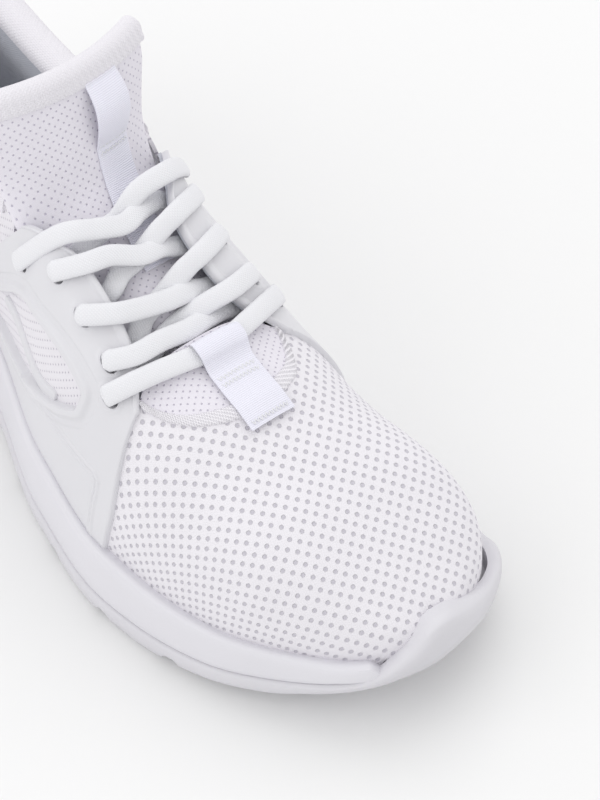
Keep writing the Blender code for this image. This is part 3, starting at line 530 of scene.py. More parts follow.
def ribbed_cloth(name, colour, shade_colour, pitch, depth, roughness=0.55, sheen=0.3, cross=0.0):
    """Ribbon or braid: fine ribs across the run, with a cross weave when asked. The grooves between the ribs
    are painted darker towards shade_colour: painted shade.
    """
    look = Look(name, roughness, sheen)
    along, across = look.cloth()
    ribs = look.wave(along, pitch)
    if cross:
        slanted = [look.wave(look.scaled(across, slant, along), cross) for slant in (0.9, -0.9)]
        ribs = look.math("MAXIMUM", *slanted)
    share = look.scaled(ribs, 0.5, 0.5)
    # painted shade: the grooves between the ribs, where the bump dips, are painted darker
    shade = look.blend(look.times(share, 0.45), tint(look, colour, 0.01), shade_colour)
    height = look.scaled(look.noise(1200, 2), 0.25, look.times(share, -1.0))
    return look.finish(shade, height, depth)


def moulded(name, colour, edge_colour, roughness, grain, depth, coat=0.0):
    """Moulded rubber, foam or film: a fine grain, slightly worn and dusty in places."""
    look = Look(name, roughness, 0.0, coat)
    fine = look.noise(grain, 3)
    broad = look.noise(25, 2)
    shade = look.blend(look.step(broad, 0.35, 0.75), colour, edge_colour)
    rough = look.scaled(broad, 0.12, roughness - 0.06)
    look.link(rough, look.shader.inputs["Roughness"])
    return look.finish(shade, fine, depth)


def seam_cloth(name, colour, hole_shade):
    """The overlocked band: rows of interlocking loops; the gaps between the loops are painted darker towards
    the hole colour: painted shade.
    """
    look = Look(name, 0.85, 0.15)
    along, across = look.cloth()
    slanted = look.scaled(along, 0.7, across)
    loops = look.times(look.wave(slanted, 1.5), look.wave(along, 1.1))
    share = look.step(loops, -0.1, 0.75)
    # painted shade: the gaps between the loops, where the bump dips, are painted darker
    shade = look.blend(look.times(share, 0.7), tint(look, colour), hole_shade)
    height = look.scaled(look.noise(800, 2), 0.3, look.times(share, -1.0))
    return look.finish(shade, height, 0.2)


# In each punched, ribbed or seam cloth the second colour is painted shade for its holes, gaps or grooves.
LOOKS = {
    "mesh": punched_cloth("open_mesh", (0.83, 0.81, 0.85), (0.56, 0.54, 0.60),
                          (4.31, 4.31), (0.36, 0.86), 0.30, 0.62),
    "knit": punched_cloth("pin_dot_knit", (0.80, 0.775, 0.835), (0.50, 0.47, 0.57),
                          (2.9, 3.1), (0.70, 0.98), 0.16, 0.55),
    "side_knit": punched_cloth("side_knit", (0.80, 0.78, 0.82), (0.50, 0.47, 0.55),
                               (2.9, 3.1), (0.72, 0.98), 0.18, 0.5),
    # painted shade: the lining is pale, and its grey-blue here stands for the shade inside the shoe on every
    # piece that wears it
    "lining": punched_cloth("brushed_lining", (0.56, 0.575, 0.63), (0.44, 0.45, 0.51),
                            (0.9, 0.9), (0.2, 1.0), 0.08, 0.45, 0.9, 0.3),
    "board": punched_cloth("lasting_board", (0.72, 0.71, 0.69), (0.55, 0.54, 0.52),
                           (1.4, 1.4), (0.5, 1.0), 0.1, 0.6),
    "hem": ribbed_cloth("puckered_hem", (0.84, 0.82, 0.86), (0.72, 0.70, 0.75), 1.15, 0.14, 0.85, 0.15, 1.3),
    "lace": ribbed_cloth("braided_lace", (0.82, 0.82, 0.845), (0.71, 0.71, 0.75), 0.9, 0.07, 0.72, 0.25, 1.0),
    "ribbon": ribbed_cloth("satin_ribbon", (0.85, 0.845, 0.93), (0.74, 0.73, 0.85), 0.62, 0.10, 0.45, 0.35),
    "seam": seam_cloth("overlock_seam", (0.83, 0.81, 0.85), (0.74, 0.72, 0.78)),
    "saddle": moulded("moulded_film", (0.70, 0.695, 0.725), (0.715, 0.71, 0.74), 0.42, 900, 0.02),
    "foam": moulded("sidewall_foam", (0.72, 0.71, 0.75), (0.735, 0.725, 0.765), 0.5, 700, 0.05),
    "rubber": moulded("sole_rubber", (0.66, 0.65, 0.685), (0.68, 0.67, 0.705), 0.5, 500, 0.06),
    "stiffener": moulded("thermoformed_sheet", (0.66, 0.66, 0.68), (0.62, 0.62, 0.64), 0.6, 400, 0.05),
    "padding": moulded("open_foam", (0.78, 0.77, 0.73), (0.70, 0.69, 0.65), 0.95, 1500, 0.3),
    "tip": moulded("lace_tip_film", (0.80, 0.80, 0.84), (0.78, 0.78, 0.82), 0.2, 300, 0.02, coat=0.5),
}


# --- sole

GROOVE_HALF_WIDTH = 3.4
GROOVE_SLOPE = 2.2
LOWERED = {-1: (142.0, 145.5), 1: (106.0, 110.0)}
WITHDRAWN = {-1: (144.5, 148.0), 1: (110.0, 114.0)}
# Inset on the sides and at the toe guard, undercut, rise over the ground and its growth with the tuck,
# share of the way up to the band's top and its growth, and how much of the grooves shows.
TREAD_LEVELS = [
    (9.0, 9.5, 4.0, 0.0, 0.0, 0.0, 0.0, 1.0), (3.4, 4.2, 5.4, 0.0, 0.0, 0.0, 0.0, 1.0),
    (2.0, 2.5, 5.6, 0.3, 0.0, 0.0, 0.0, 1.0), (0.9, 1.4, 4.2, 1.0, 0.6, 0.0, 0.0, 0.9),
    (0.3, 0.8, 2.8, 1.9, 1.6, 0.0, 0.0, 0.8), (0.05, 0.2, 1.0, 2.3, 0.0, 0.15, 0.2, 0.35),
    (0.0, 0.0, 0.0, 2.6, 0.0, 0.4, 0.25, 0.0), (0.1, 0.4, 0.0, 2.6, 0.0, 0.8, 0.05, 0.0),
]
# Inset on the sides and at the toe guard, drop under the band's top, and the guard's further drop.
BAND_LEVELS = [
    (0.5, 1.5, 0.6, 0.0), (1.0, 2.5, 0.15, 0.0), (1.8, 3.7, 0.0, 0.0), (2.8, 5.6, 0.15, 0.0),
    (4.2, 9.6, 0.9, 1.6),
]
# Inset on the sides and under the toe guard, depth under the bed there, and the rise over the crease,
# the share of the wall's height, or the drop under the rim.
CREASE_LEVELS = [
    (5.9, 6.8, 2.4, 0.0), (2.2, 6.8, 2.3, 0.02), (1.5, 6.7, 2.2, 0.1), (1.05, 6.6, 2.1, 0.45),
    (0.85, 6.6, 2.0, 1.1),
]
WALL_LEVELS = [(0.9, 6.6, 1.8, 0.25), (1.15, 6.6, 1.6, 0.45), (1.5, 6.6, 1.4, 0.65), (1.95, 6.7, 1.2, 0.82)]
RIM_LEVELS = [
    (2.45, 6.7, 1.1, 0.75), (3.1, 6.8, 0.9, 0.2), (3.9, 6.9, 0.6, 0.0), (4.6, 7.0, 0.5, 0.2),
    (5.4, 7.2, 0.3, 0.55), (8.6, 8.4, 0.2, 1.8),
]
FOOTBED_LEVELS = [
    (13.4, 1.8), (12.8, 2.2), (12.6, 3.0), (12.6, 4.8), (12.9, 5.5), (13.8, 5.8), (16.0, 5.6), (22.0, 5.2),
]
SOLE_ANGLES = np.linspace(0, np.pi, 361)
SOLE_ALONG = -HALF * np.cos(SOLE_ANGLES)


def ring_body(name, angles, levels, look, replaces):
    """A body from rings round the plan; levels(side) gives each ring's inset and its height over x."""
    halves = []
    for side in (-1, 1):
        rings = []
        for inset, height in levels(side):
            x, y = outline(angles, inset, side)
            rings.append(np.stack([x, y, height(x)], -1))
        halves.append(np.array(rings))
    rings = np.concatenate([halves[0], halves[1][:, -2:0:-1]], axis=1)
    count = rings.shape[1]
    partner = np.concatenate([[0], np.arange(count - 1, 0, -1)])

    def closed(ring, shares):
        return np.array([mix(ring, (ring + ring[partner]) / 2, k) for k in shares])

    grid = np.concatenate([closed(rings[0], (1.0, 0.66, 0.33)), rings, closed(rings[-1], (0.33, 0.66, 1.0))])
    faces = ring_faces(len(grid), count)[1]
    around = run_lengths(rings[len(rings) // 2])
    rows = np.concatenate([[0], np.cumsum(np.linalg.norm(np.diff(grid, axis=0), axis=-1).mean(axis=1))])
    cloth = paired(around[None, :], rows[:, None])
    return new_object(name, grid.reshape(-1, 3), faces, cloth.reshape(-1, 2), look, replaces)


def make_outsole():
    """The rubber tread, with its flex grooves and the guard over the toe."""
    from_groove = np.min([np.abs(SOLE_ALONG - x) for x in GROOVES], axis=0)
    grooves = GROOVE_DEPTH * ease(0, GROOVE_SLOPE, GROOVE_HALF_WIDTH - from_groove)

    def levels(side):
        top = band[side](SOLE_ALONG)
        raised = ease(24, 38, top)
        tuck = ease(118, 146, SOLE_ALONG)
        if side > 0:
            tuck = tuck * mix(INNER_TUCK, 1.0, ease(143, 150, SOLE_ALONG))
        for plain, guarded, undercut, rise, rise_tuck, share, share_tuck, shown in TREAD_LEVELS:
            yield mix(plain, guarded, raised) + undercut * tuck, lambda x: grooves * shown + mix(
                ground(x) + rise + rise_tuck * tuck, top, share + share_tuck * tuck)
        for plain, guarded, drop, guard_drop in BAND_LEVELS:
            yield mix(plain, guarded, raised), lambda x: top - drop - guard_drop * raised
        inner = mix(4.2, 5.3, raised)
        yield inner, lambda x: mix(ground(x) + OUTSOLE_FLOOR + 0.8, bed(x) + 3.0, raised)
        yield inner, lambda x: ground(x) + OUTSOLE_FLOOR

    ring_body("rubber_outsole", SOLE_ANGLES, levels, "rubber", ["outsole"])


def make_midsole():
    """The foam wall: a crease under it, a soft swell and a rolled rim on which the upper sits."""
    def levels(side):
        lowered = ease(*LOWERED[side], SOLE_ALONG)
        withdrawn = ease(*WITHDRAWN[side], SOLE_ALONG)

        def crease(below_bed, rise):
            return np.minimum(band[side](SOLE_ALONG) + 0.35 + rise, bed(SOLE_ALONG) - below_bed)

        def level(plain, guarded, below_bed, height):
            return mix(plain, guarded, withdrawn), lambda x: mix(height(x), bed(x) - below_bed, lowered)

        yield mix(6.2, 6.8, withdrawn), lambda x: ground(x) + OUTSOLE_FLOOR + 0.35
        for plain, guarded, below_bed, rise in CREASE_LEVELS:
            yield level(plain, guarded, below_bed, lambda x: crease(below_bed, rise))
        for plain, guarded, below_bed, share in WALL_LEVELS:
            yield level(plain, guarded, below_bed, lambda x: mix(crease(2.0, 0.3), rim(x), share))
        for plain, guarded, below_bed, drop in RIM_LEVELS:
            yield level(plain, guarded, below_bed, lambda x: rim(x) - drop)
        yield level(8.4, 8.4, 0.0, bed)

    ring_body("foam_midsole", SOLE_ANGLES, levels, "foam", ["midsole"])


def make_footbed():
    """The insole, with a rounded edge and a slight cup."""
    def levels(_side):
        for inset, rise in FOOTBED_LEVELS:
            yield inset, lambda x: bed(x) + rise

    made = ring_body("footbed", np.linspace(0, np.pi, 181), levels, "lining", ["sockliner"])
    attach(made, INSOLE)


# --- upper

BAND_REAR = -2.9
BAND_FRONT = 1.9
BAND_HALF_WIDTH = 2.4
HEEL_STRIP_FRONT = -139.0


def make_vamp():
    """The open mesh of the toe box, from the seam band round to the tip, and its lining."""
    turns = np.linspace(0, 1, 261)
    angles = mix(angle_of(vamp_edge(turns))[:, None], np.pi, np.linspace(0, 1, 121))
    turns = np.broadcast_to(turns[:, None], angles.shape)
    panel("open_mesh_vamp", angles, turns, 0.0, -CLOTH_THICKNESS, "mesh", "mesh", ["vamp_mesh"], True)
    angles = mix(angle_of(53.0), np.pi, np.linspace(0, 1, 41))
    turns, angles = np.meshgrid(np.linspace(0, 1, 81), angles, indexing="ij")
    panel("toe_lining", angles, turns, *LINING_HEIGHTS, "lining", "lining", ["vamp_lining"], True)


def make_throat():
    """The fine knit at the base of the throat, and the arched seam band over its joint with the mesh."""
    def between(rear_x, front_x, rear_turns, front_turns, columns):
        share = np.linspace(0, 1, columns)
        angles = mix(angle_of(rear_x)[:, None], angle_of(front_x)[:, None], share)
        return angles, mix(rear_turns[:, None], front_turns[:, None], share)

    v = np.linspace(0, 1, 81)
    edge = mix(0.340, 0.660, v)
    angles, turns = between(44.8 + 0 * v, vamp_edge(edge) - 1.2, mix(0.394, 0.606, v), edge, 33)
    panel("throat_knit", angles, turns, 0.0, -CLOTH_THICKNESS, "knit", "knit", ["throat_panel"])
    edge = mix(0.338, 0.662, np.linspace(0, 1, 141))
    angles, turns = between(vamp_edge(edge) + BAND_REAR, vamp_edge(edge) + BAND_FRONT, edge, edge, 15)
    run = run_lengths(upper(angles, turns)[:, 7])[:, None]
    share = np.linspace(-1, 1, 15)[None, :]
    height = 0.12 + 0.75 * rounded(BAND_HALF_WIDTH * (1 - np.abs(share)), 1.4)
    height = height + 0.04 * np.sin(run * 2 * np.pi / 1.6 + share * BAND_HALF_WIDTH)
    cloth = paired(run, share * BAND_HALF_WIDTH)
    thick("overlock_band", upper(angles, turns, height), upper(angles, turns, -0.3), cloth, "seam",
          ["vamp_seam_band"])


def quarter_top(x):
    """The upper edge of the quarters: the topline at the back, the backing's outer edge in front."""
    back = turn_at_height(x, topline(x) - 2.0)
    front = np.maximum(backing_outer(np.maximum(x, -11.0)), 0.0) + 0.03
    return mix(back, front, ease(-20, -12.5, x))


def make_quarters():
    share = np.linspace(0, 1, 61)
    front_x = vamp_edge(share * 0.225) - 1.0
    angles = mix(angle_of(-143.9), angle_of(front_x)[:, None], np.linspace(0, 1, 141))
    turns = share[:, None] * quarter_top(foot_of(angles))
    for side, name, node in SIDES:
        panel(name + "_side_knit", angles, on_side(turns, side), 0.0, -CLOTH_THICKNESS, "side_knit", "mesh",
              [node + "_quarter"])


def wrapped(front_x, low, high, rows, columns):
    """Angles and turns of a panel round the heel between two edges, given as heights over x."""
    along = np.linspace(angle_of(front_x), 0, columns)
    foot_x = foot_of(along)
    bottom = turn_at_height(foot_x, low(foot_x))
    top = turn_at_height(foot_x, high(foot_x))
    turns = bottom + (top - bottom) * np.linspace(0, 1, rows)[:, None]
    angles = np.broadcast_to(along, turns.shape)
    return np.hstack([angles, angles[:, -2::-1]]), np.hstack([turns, 1 - turns[:, -2::-1]])


def make_heel():
    """The lining of the sides and heel, and the moulded strip over the back seam."""
    angles, turns = wrapped(51.0, lambda x: bed(x), lambda x: 54.0 + 0 * x, 21, 101)
    panel("side_lining", angles, turns, *LINING_HEIGHTS, "lining", "lining", ["quarter_lining"])
    angles, turns = wrapped(HEEL_STRIP_FRONT, lambda x: rim(x) - 0.8, lambda x: topline(x) - 3.2, 81, 41)
    near = np.min(edge_distance(upper(angles, turns, FACE)), axis=0)
    height = 0.2 + 1.8 * rounded(near, 1.6) - 0.35 * bump(near - 3.2, 0.5)
    panel("heel_seam_strip", angles, turns, height, 0.1, "saddle", "moulded", ["heel_strip"])


def fullness(x):
    """How thick the collar's padding is along the shoe: thin at its front ends, full at the ankle."""
    return 1 - ease(-62, COLLAR_FRONT, x)


def make_collar():
    """The padded lining of the ankle, and the stitched binding along its top edge."""
    angles, turns = wrapped(COLLAR_FRONT, lambda x: 55.5 + 0 * x, lambda x: topline(x) - 3.0, 41, 91)
    v = np.linspace(0, 1, 41)[:, None]
    depth = 4.0 + 5.4 * np.sin(np.pi * v ** 1.3 * 0.72) * fullness(foot_of(angles))
    pad = panel("collar_pad", angles, turns, -2.1, -depth - 1.5, "lining", "lining",
                ["collar_lining", "collar_foam"])
    along = np.linspace(angle_of(COLLAR_FRONT), 0, 121)
    foot_x = foot_of(along)
    depth = 5.6 + 4.7 * fullness(foot_x)
    profile = [(0.0, 0.0, -5.2), (0.75, 0.0, -5.0), (1.0, 0.0, -4.4), (0.9, 0.0, -3.6), (1.1, 0.0, -1.4),
               (0.9, 0.0, 0.6), (0.3, 0.1, 2.0), (0.0, 0.3, 2.9), (0.1, 0.55, 3.0), (0.3, 0.85, 2.2),
               (0.3, 1.0, 0.6), (0.2, 1.03, -1.6), (0.7, 1.0, -2.6), (1.6, 0.97, -2.4)]
    rings = []
    for out, share, rise in profile:
        turns = turn_at_height(foot_x, topline(foot_x) + rise)
        near, far = (upper(along, on_side(turns, side), out - share * depth) for side in (-1, 1))
        rings.append(np.concatenate([near, far[-2::-1]]))
    grid = np.array(rings).transpose(1, 0, 2)
    run = run_lengths(grid[:, 5])
    around = run_lengths(grid[60])
    pucker = 0.12 * np.sin(run * 2 * np.pi / 2.6)
    grid[..., 2] += pucker[:, None] * ((around > 3) & (around < 9))
    tube("collar_edge_binding", grid, around, run, "hem", ["collar_binding"])
    return pad


# --- saddles

WINDOW_HIGH = curve([(-48, 46), (-36, 54), (-21, 62.5), (-10, 72.5), (-4, 78.0), (3, 81.4), (12, 81.4),
                     (25, 78.4), (34.6, 73.6)])
WINDOW_LOW = curve([(-48, 44.6), (-22, 47.0), (10, 56.0), (26, 62.0), (34.6, 67.2)])
WINDOW_CORNER = 2.4
WINDOW_REACH = (-38, 35.2 - WINDOW_CORNER)
LOWER_RIDGE = [
    (-60, 0.045), (-30, 0.078), (0, 0.104), (20.1, 0.122), (28.2, 0.132), (40, 0.149), (48.3, 0.162),
    (50, 0.158), (50.4, 0.140), (50.2, 0.09), (50, 0.027),
]
SLOT = (3.2, 1.9)
SADDLE_REAR = (-96.0, -9.0)
WAVE_REACH = (-18, 24)
WAVE_HALF_WIDTH = 2.4


def window_edges(x):
    """The turns of the window's upper and lower edge, each moved in by the corner's radius."""
    high = turn_at_height(x, WINDOW_HIGH(x) - WINDOW_CORNER)
    return high, turn_at_height(x, WINDOW_LOW(x) + WINDOW_CORNER)


def surface_line(points, side):
    """A polyline of (x, turn) on the shell, as points in space."""
    xs, turns = np.array(points, float).T
    return upper(angle_of(xs), on_side(turns, side), FACE)


def from_window(plain, x, turn, side):
    """Distance of each point from the window's edge, less than 0 inside it."""
    xs = np.linspace(*WINDOW_REACH, 60)
    high, low = (list(zip(xs, edge)) for edge in window_edges(xs))
    away = to_line(plain, surface_line(high + low[::-1] + high[:1], side))
    high, low = window_edges(x)
    inside = (x > WINDOW_REACH[0]) & (x < WINDOW_REACH[1]) & (turn < high) & (turn > low)
    return np.where(inside, -away, away) - WINDOW_CORNER


def from_eyelet(plain, place, side):
    """Distance of each point from an eyelet's centre, as a share of the slot's half length and width."""
    x, turn = place
    turn = on_side(turn, side)
    at = upper(angle_of(x), turn, FACE)
    ahead = upper(angle_of(x + 1.0), turn, FACE) - at
    inward = upper(angle_of(x), turn + (0.01 if side < 0 else -0.01), FACE) - at
    ahead = unit(ahead)
    inward = unit(inward - ahead * (inward @ ahead))
    away = plain - at
    return np.sqrt((away @ ahead / SLOT[0]) ** 2 + (away @ inward / SLOT[1]) ** 2)


def make_saddles():
    """The moulded saddles, from the sole up to the eyestay edge, with their window, ridges and eyelets."""
    v = np.linspace(0, 1, 300)
    front_x = vamp_edge(mix(0.045, 0.335, v)) + 1.2
    angles = mix(angle_of(mix(*SADDLE_REAR, v))[:, None], angle_of(front_x)[:, None], np.linspace(0, 1, 330))
    foot = foot_of(angles)
    turns = mix(turn_at_height(foot, rim(foot) - 1.5), eyestay_inner(foot), v[:, None])
    for side, name, node in SIDES:
        place = on_side(turns, side)
        plain = upper(angles, place, FACE)
        bottom, top, rear, front = edge_distance(plain)
        free_edge = np.minimum(top, np.minimum(rear, front))
        height = 0.15 + 1.45 * rounded(free_edge, 1.3)
        height = height + 0.55 * bump(top - 1.9, 1.7)
        window = from_window(plain, foot, turns, side)
        height = height + 1.15 * bump(window - 1.9, 2.3) - 3.6 * ease(0.35, -0.75, window)
        ridge_line = to_line(plain, surface_line(LOWER_RIDGE, side))
        height = height + 0.5 * bump(ridge_line - 0.9, 0.7) - 0.4 * bump(ridge_line, 0.6)
        height = height + 0.18 * (window > 6) * ease(0.0, 1.2, bottom - 0.02 * foot)
        for eyelet in EYELETS[side]:
            reach = from_eyelet(plain, eyelet, side)
            height = height + 0.22 * bump(reach - 1.35, 0.4) - 4.5 * ease(1.08, 0.82, reach)
        panel(name + "_saddle", angles, place, height, np.minimum(height - 0.5, 0.1), "saddle", "moulded",
              [node + "_saddle"])


def make_eyelet_backings():
    """The strips under the eyelets; their inner edges line the throat."""
    x = np.linspace(-11.0, 46.5, 101)[:, None]
    angles = np.broadcast_to(angle_of(x), (101, 21))
    turns = mix(backing_outer(x), eyestay_inner(x) - 0.003, np.linspace(0, 1, 21))
    for side, name, node in SIDES:
        place = on_side(turns, side)
        plain = upper(angles, place)
        dip = -3.2 * sum(ease(1.1, 0.8, from_eyelet(plain, eyelet, side)) for eyelet in EYELETS[side])
        panel(name + "_eyelet_strip", angles, place, dip, dip - CLOTH_THICKNESS, "lining", "padding",
              [node + "_eyelet_backing"])


def make_emblem():
    """A plain raised wave inside the outer window."""
    share = np.linspace(-1, 1, 13)[:, None]
    xs = np.linspace(*WAVE_REACH, 121)[None, :]
    from_end = xs - WAVE_REACH[0]
    middle = 62 + 2.0 * np.sin(from_end / (WAVE_REACH[1] - WAVE_REACH[0]) * 2 * np.pi)
    reach = WAVE_HALF_WIDTH * rounded(np.minimum(from_end, WAVE_REACH[1] - xs), WAVE_HALF_WIDTH)
    xs = np.broadcast_to(xs, (13, 121))
    turns = turn_at_height(xs, middle + share * reach)
    height = 0.15 + 0.8 * rounded((1 - np.abs(share)) * WAVE_HALF_WIDTH + 0 * xs, 1.0) * (reach > 0.05)
    panel("window_wave", angle_of(xs), turns, height, -0.2, "saddle", "moulded", ["window_emblem"])


# --- tongue

tongue_width = curve(TONGUE_HALF_WIDTH)
tongue_drop = curve(TONGUE_DROP)
tongue_line_x = curve([(k / 8, p[0]) for k, p in enumerate(TONGUE_LINE)])
tongue_line_z = curve([(k / 8, p[1]) for k, p in enumerate(TONGUE_LINE)])
TONGUE_VS = np.linspace(0, 1.05, 211)
RIBBON_PLACE = 0.30
RIBBON_HALF_WIDTH = 6.0
THREAD_RADIUS = 0.22
TONGUE_RUN = run_lengths(np.stack([tongue_line_x(TONGUE_VS), tongue_line_z(TONGUE_VS)], -1))


def tongue(v, w, height=0.0):
    """A point of the tongue; v runs from the throat to the top, w from -1 to 1 across."""
    v, w = np.broadcast_arrays(np.asarray(v, float), np.asarray(w, float))
    near = np.clip(v, 0.01, 0.99)
    dx = tongue_line_x(near + 0.01) - tongue_line_x(near - 0.01)
    dz = tongue_line_z(near + 0.01) - tongue_line_z(near - 0.01)
    length = np.hypot(dx, dz)
    nx = dz / length
    nz = -dx / length
    half = tongue_width(v)
    slope = 2 * tongue_drop(v) * w / half
    lean = 1 / np.sqrt(1 + slope * slope)
    across = half * w + height * slope * lean
    sink = tongue_drop(v) * w * w - height * lean
    x = tongue_line_x(v)
    return np.stack([x - nx * sink, centre(np.clip(x, -40, 60)) + across, tongue_line_z(v) - nz * sink], -1)


def make_tongue():
    """The padded tongue, in the knit on both faces, with the pads' soft swell."""
    v = np.linspace(0.02, 0.962, 121)[:, None]
    w = np.linspace(-1, 1, 71)[None, :]
    near_side = rounded((1 - np.abs(w)) * tongue_width(v), 2.6)
    swell = 0.35 * np.sin(np.clip((v - 0.5) / 0.46, 0, 1) * np.pi) * (1 - w ** 4)
    outer = -3.1 * (1 - near_side) + swell
    inner = -3.3 - 3.1 * near_side
    run = np.interp(v, TONGUE_VS, TONGUE_RUN)
    cloth = paired(run, w * tongue_width(v) * 1.08)
    return thick("padded_tongue", tongue(v, w, outer), tongue(v, w, inner), cloth, "knit",
                 ["tongue_shell", "tongue_foam", "tongue_lining"], TONGUE)


def make_tongue_hem():
    """The puckered, stitched hem over the tongue's top edge."""
    profile = [(0.925, -0.2), (0.926, 0.55), (0.935, 0.8), (0.95, 0.55), (0.97, 0.6), (0.985, 0.3),
               (1.0, -0.6), (1.010, -2.0), (1.012, -3.4), (1.005, -5.0), (0.99, -6.3), (0.962, -6.9),
               (0.93, -6.7), (0.925, -6.2)]
    w = np.linspace(-1.0, 1.0, 201)[:, None]
    v, height = np.array(profile).T[:, None, :]
    run = w * tongue_width(0.96)
    pucker = 0.16 * np.sin(run * 2 * np.pi / 2.4 + v * 60) * (v < 0.99) * (height > 0)
    grid = tongue(v, w, height + pucker)
    tube("tongue_top_hem", grid, run_lengths(grid[100]), run[:, 0], "hem", ["tongue_hem"], TONGUE)


def make_pull_ribbon():
    """The woven pull loop: sewn to the tongue below, standing off it under the hem."""
    v = np.linspace(0.30, 0.936, 141)[:, None]
    share = np.linspace(-1, 1, 17)[None, :]
    w = RIBBON_PLACE + share * RIBBON_HALF_WIDTH / tongue_width(v)
    lift = 0.45 + 3.6 * np.clip(np.sin(np.pi * np.clip((v - 0.72) / 0.21, 0, 1)), 0, 1)
    lift = lift + 0.12 * (1 - share ** 6)
    run = np.interp(v, TONGUE_VS, TONGUE_RUN)
    cloth = paired(run, share * RIBBON_HALF_WIDTH)
    thick("pull_ribbon", tongue(v, w, lift + 0.55), tongue(v, w, lift), cloth, "ribbon",
          ["tongue_pull_ribbon"], TONGUE)

    def place(row, offset, odd):
        v0 = row + 0.010 * odd
        return tongue(v0, RIBBON_PLACE + offset / tongue_width(v0), 1.32)

    add_stitches("ribbon_bartack", (0.700, 0.722), 16, 5.2, place, TONGUE)


def add_stitches(name, rows, count, reach, place, body):
    """Zigzag rows of short threads; place gives a point from the row, the offset and 0 or 1."""
    points = []
    faces = []
    sides = 6
    for row in rows:
        ends = [place(row, mix(-reach, reach, k / count), k % 2) for k in range(count + 1)]
        for start, end in zip(ends, ends[1:]):
            axis = Vector(end - start).normalized()
            one = np.array(axis.orthogonal().normalized())
            two = np.cross(np.array(axis), one)
            base = len(points)
            for share, size in ((0.0, 0.35), (0.12, 0.9), (0.5, 1.0), (0.88, 0.9), (1.0, 0.35)):
                for turn in np.arange(sides) * 2 * math.pi / sides:
                    out = (math.cos(turn) * one + math.sin(turn) * two) * THREAD_RADIUS * size
                    points.append(mix(start, end, share) + out)
            index, quads = ring_faces(5, sides)
            faces += (np.array(quads) + base).tolist()
            faces += [(index[0, ::-1] + base).tolist(), (index[-1] + base).tolist()]
    points = np.array(points)
    new_object(name, points, faces, points[:, :2], "lace", [], body)


# --- lacing

def eyestay_point(x, turn, side, height):
    """A point over or under an eyestay; side is -1 for the outer one."""
    return upper(angle_of(x), on_side(turn, side), height)


def throat_point(x, offset, height):
    """A point at a signed distance from the centre line, at a height over the shell's face."""
    return upper(angle_of(x), on_side(turn_at_width(x, np.abs(offset)), -1 if offset < 0 else 1), height)


def keeper_centre(x):
    """How far the keeper's middle is from the centre line."""
    return 3.2 - 0.08 * (x - 45.0)


def make_lace_keeper():
    """The ribbon that is sewn to the throat and loops over the lowest run of lace."""
    path = np.array([(45.9, 0.6), (46.0, 2.4), (46.8, 4.1), (49.4, 4.9), (52.0, 4.3), (54.0, 2.5),
                     (56.6, 1.15), (61.0, 0.9), (66.0, 0.95), (69.5, 1.25), (75.5, 1.15)])
    steps = np.arange(len(path))
    fine = np.linspace(0, len(path) - 1, 111)
    xs, heights = (curve(list(zip(steps, values)), free=True)(fine) for values in path.T)
    share = np.linspace(-1, 1, 19)

    def face(lift, swell):
        return np.array([[throat_point(x, keeper_centre(x) + s * KEEPER_HALF_WIDTH,
                                       h + lift + swell * (1 - s ** 6)) for s in share]
                         for x, h in zip(xs, heights)])

    outer = face(0.65, 0.12)
    cloth = paired(run_lengths(outer[:, 9])[:, None], share * KEEPER_HALF_WIDTH)
    thick("keeper_ribbon", outer, face(0.0, 0.0), cloth, "ribbon", ["lace_keeper"])

    def place(row, offset, odd):
        x = row + 1.5 * odd
        return throat_point(x, keeper_centre(x) + offset, 1.72 if row < 70 else 2.1)

    add_stitches("keeper_stitches", (58.0, 60.2, 73.0), 20, 6.4, place, SHOE)


KEEPER_HALF_WIDTH = 7.6
LACE_HALF_WIDTH = 3.35
LACE_HALF_THICKNESS = 1.45
OVER = 3.9
UNDER = -4.0
TUCKED = -4.6
LACE_STEP = 0.8
UPPER_CROSSING = -1.3
LOWER_CROSSING = -4.9
BAR_REST = 2.1


def hole_points(place, side):
    """The lace's way down through one eyelet."""
    x, turn = place
    steps = ((0.003, 3.1), (-0.004, 0.9), (-0.004, -1.6), (-0.003, -4.6))
    return [eyestay_point(x - 0.8, turn - back, side, height) for back, height in steps]


def strand(k, under):
    """From under one eyestay, out over the throat, to the outside of the next eyelet up on the other side."""
    start_x = EYELETS[under][k][0] - 0.5
    end_x = EYELETS[-under][k - 1][0]
    middle_x, land_x = CROSSINGS[under][k]
    height = UPPER_CROSSING if under > 0 else LOWER_CROSSING
    return [
        eyestay_point(start_x, eyestay_inner(start_x) - 0.030, under, TUCKED),
        eyestay_point(start_x, eyestay_inner(start_x) + 0.014, under, UNDER + 0.2),
        eyestay_point(mix(start_x, middle_x, 0.6), 0.456, under, mix(height, UNDER - 0.3, 0.45)),
        eyestay_point(middle_x, 0.500, under, height),
        eyestay_point(land_x, 0.448, -under, mix(height, OVER, 0.5)),
        eyestay_point(mix(land_x, end_x, 0.35), eyestay_inner(land_x) - 0.004, -under, OVER),
    ]


CROSSINGS = {1: {4: (41.8, 40.6), 3: (33.0, 31.0), 2: (20.0, 16.0), 1: (11.0, 8.5)},
             -1: {4: (39.0, 38.0), 3: (31.5, 28.0), 2: (20.0, 16.5), 1: (9.0, 5.0)}}
BAR = [
    (46.8, -15.5, BAR_REST + 0.6), (48.6, -9.0, BAR_REST), (49.7, -3.0, BAR_REST), (49.8, 3.0, BAR_REST),
    (49.0, 9.0, BAR_REST), (46.8, 15.5, BAR_REST + 0.6),
]


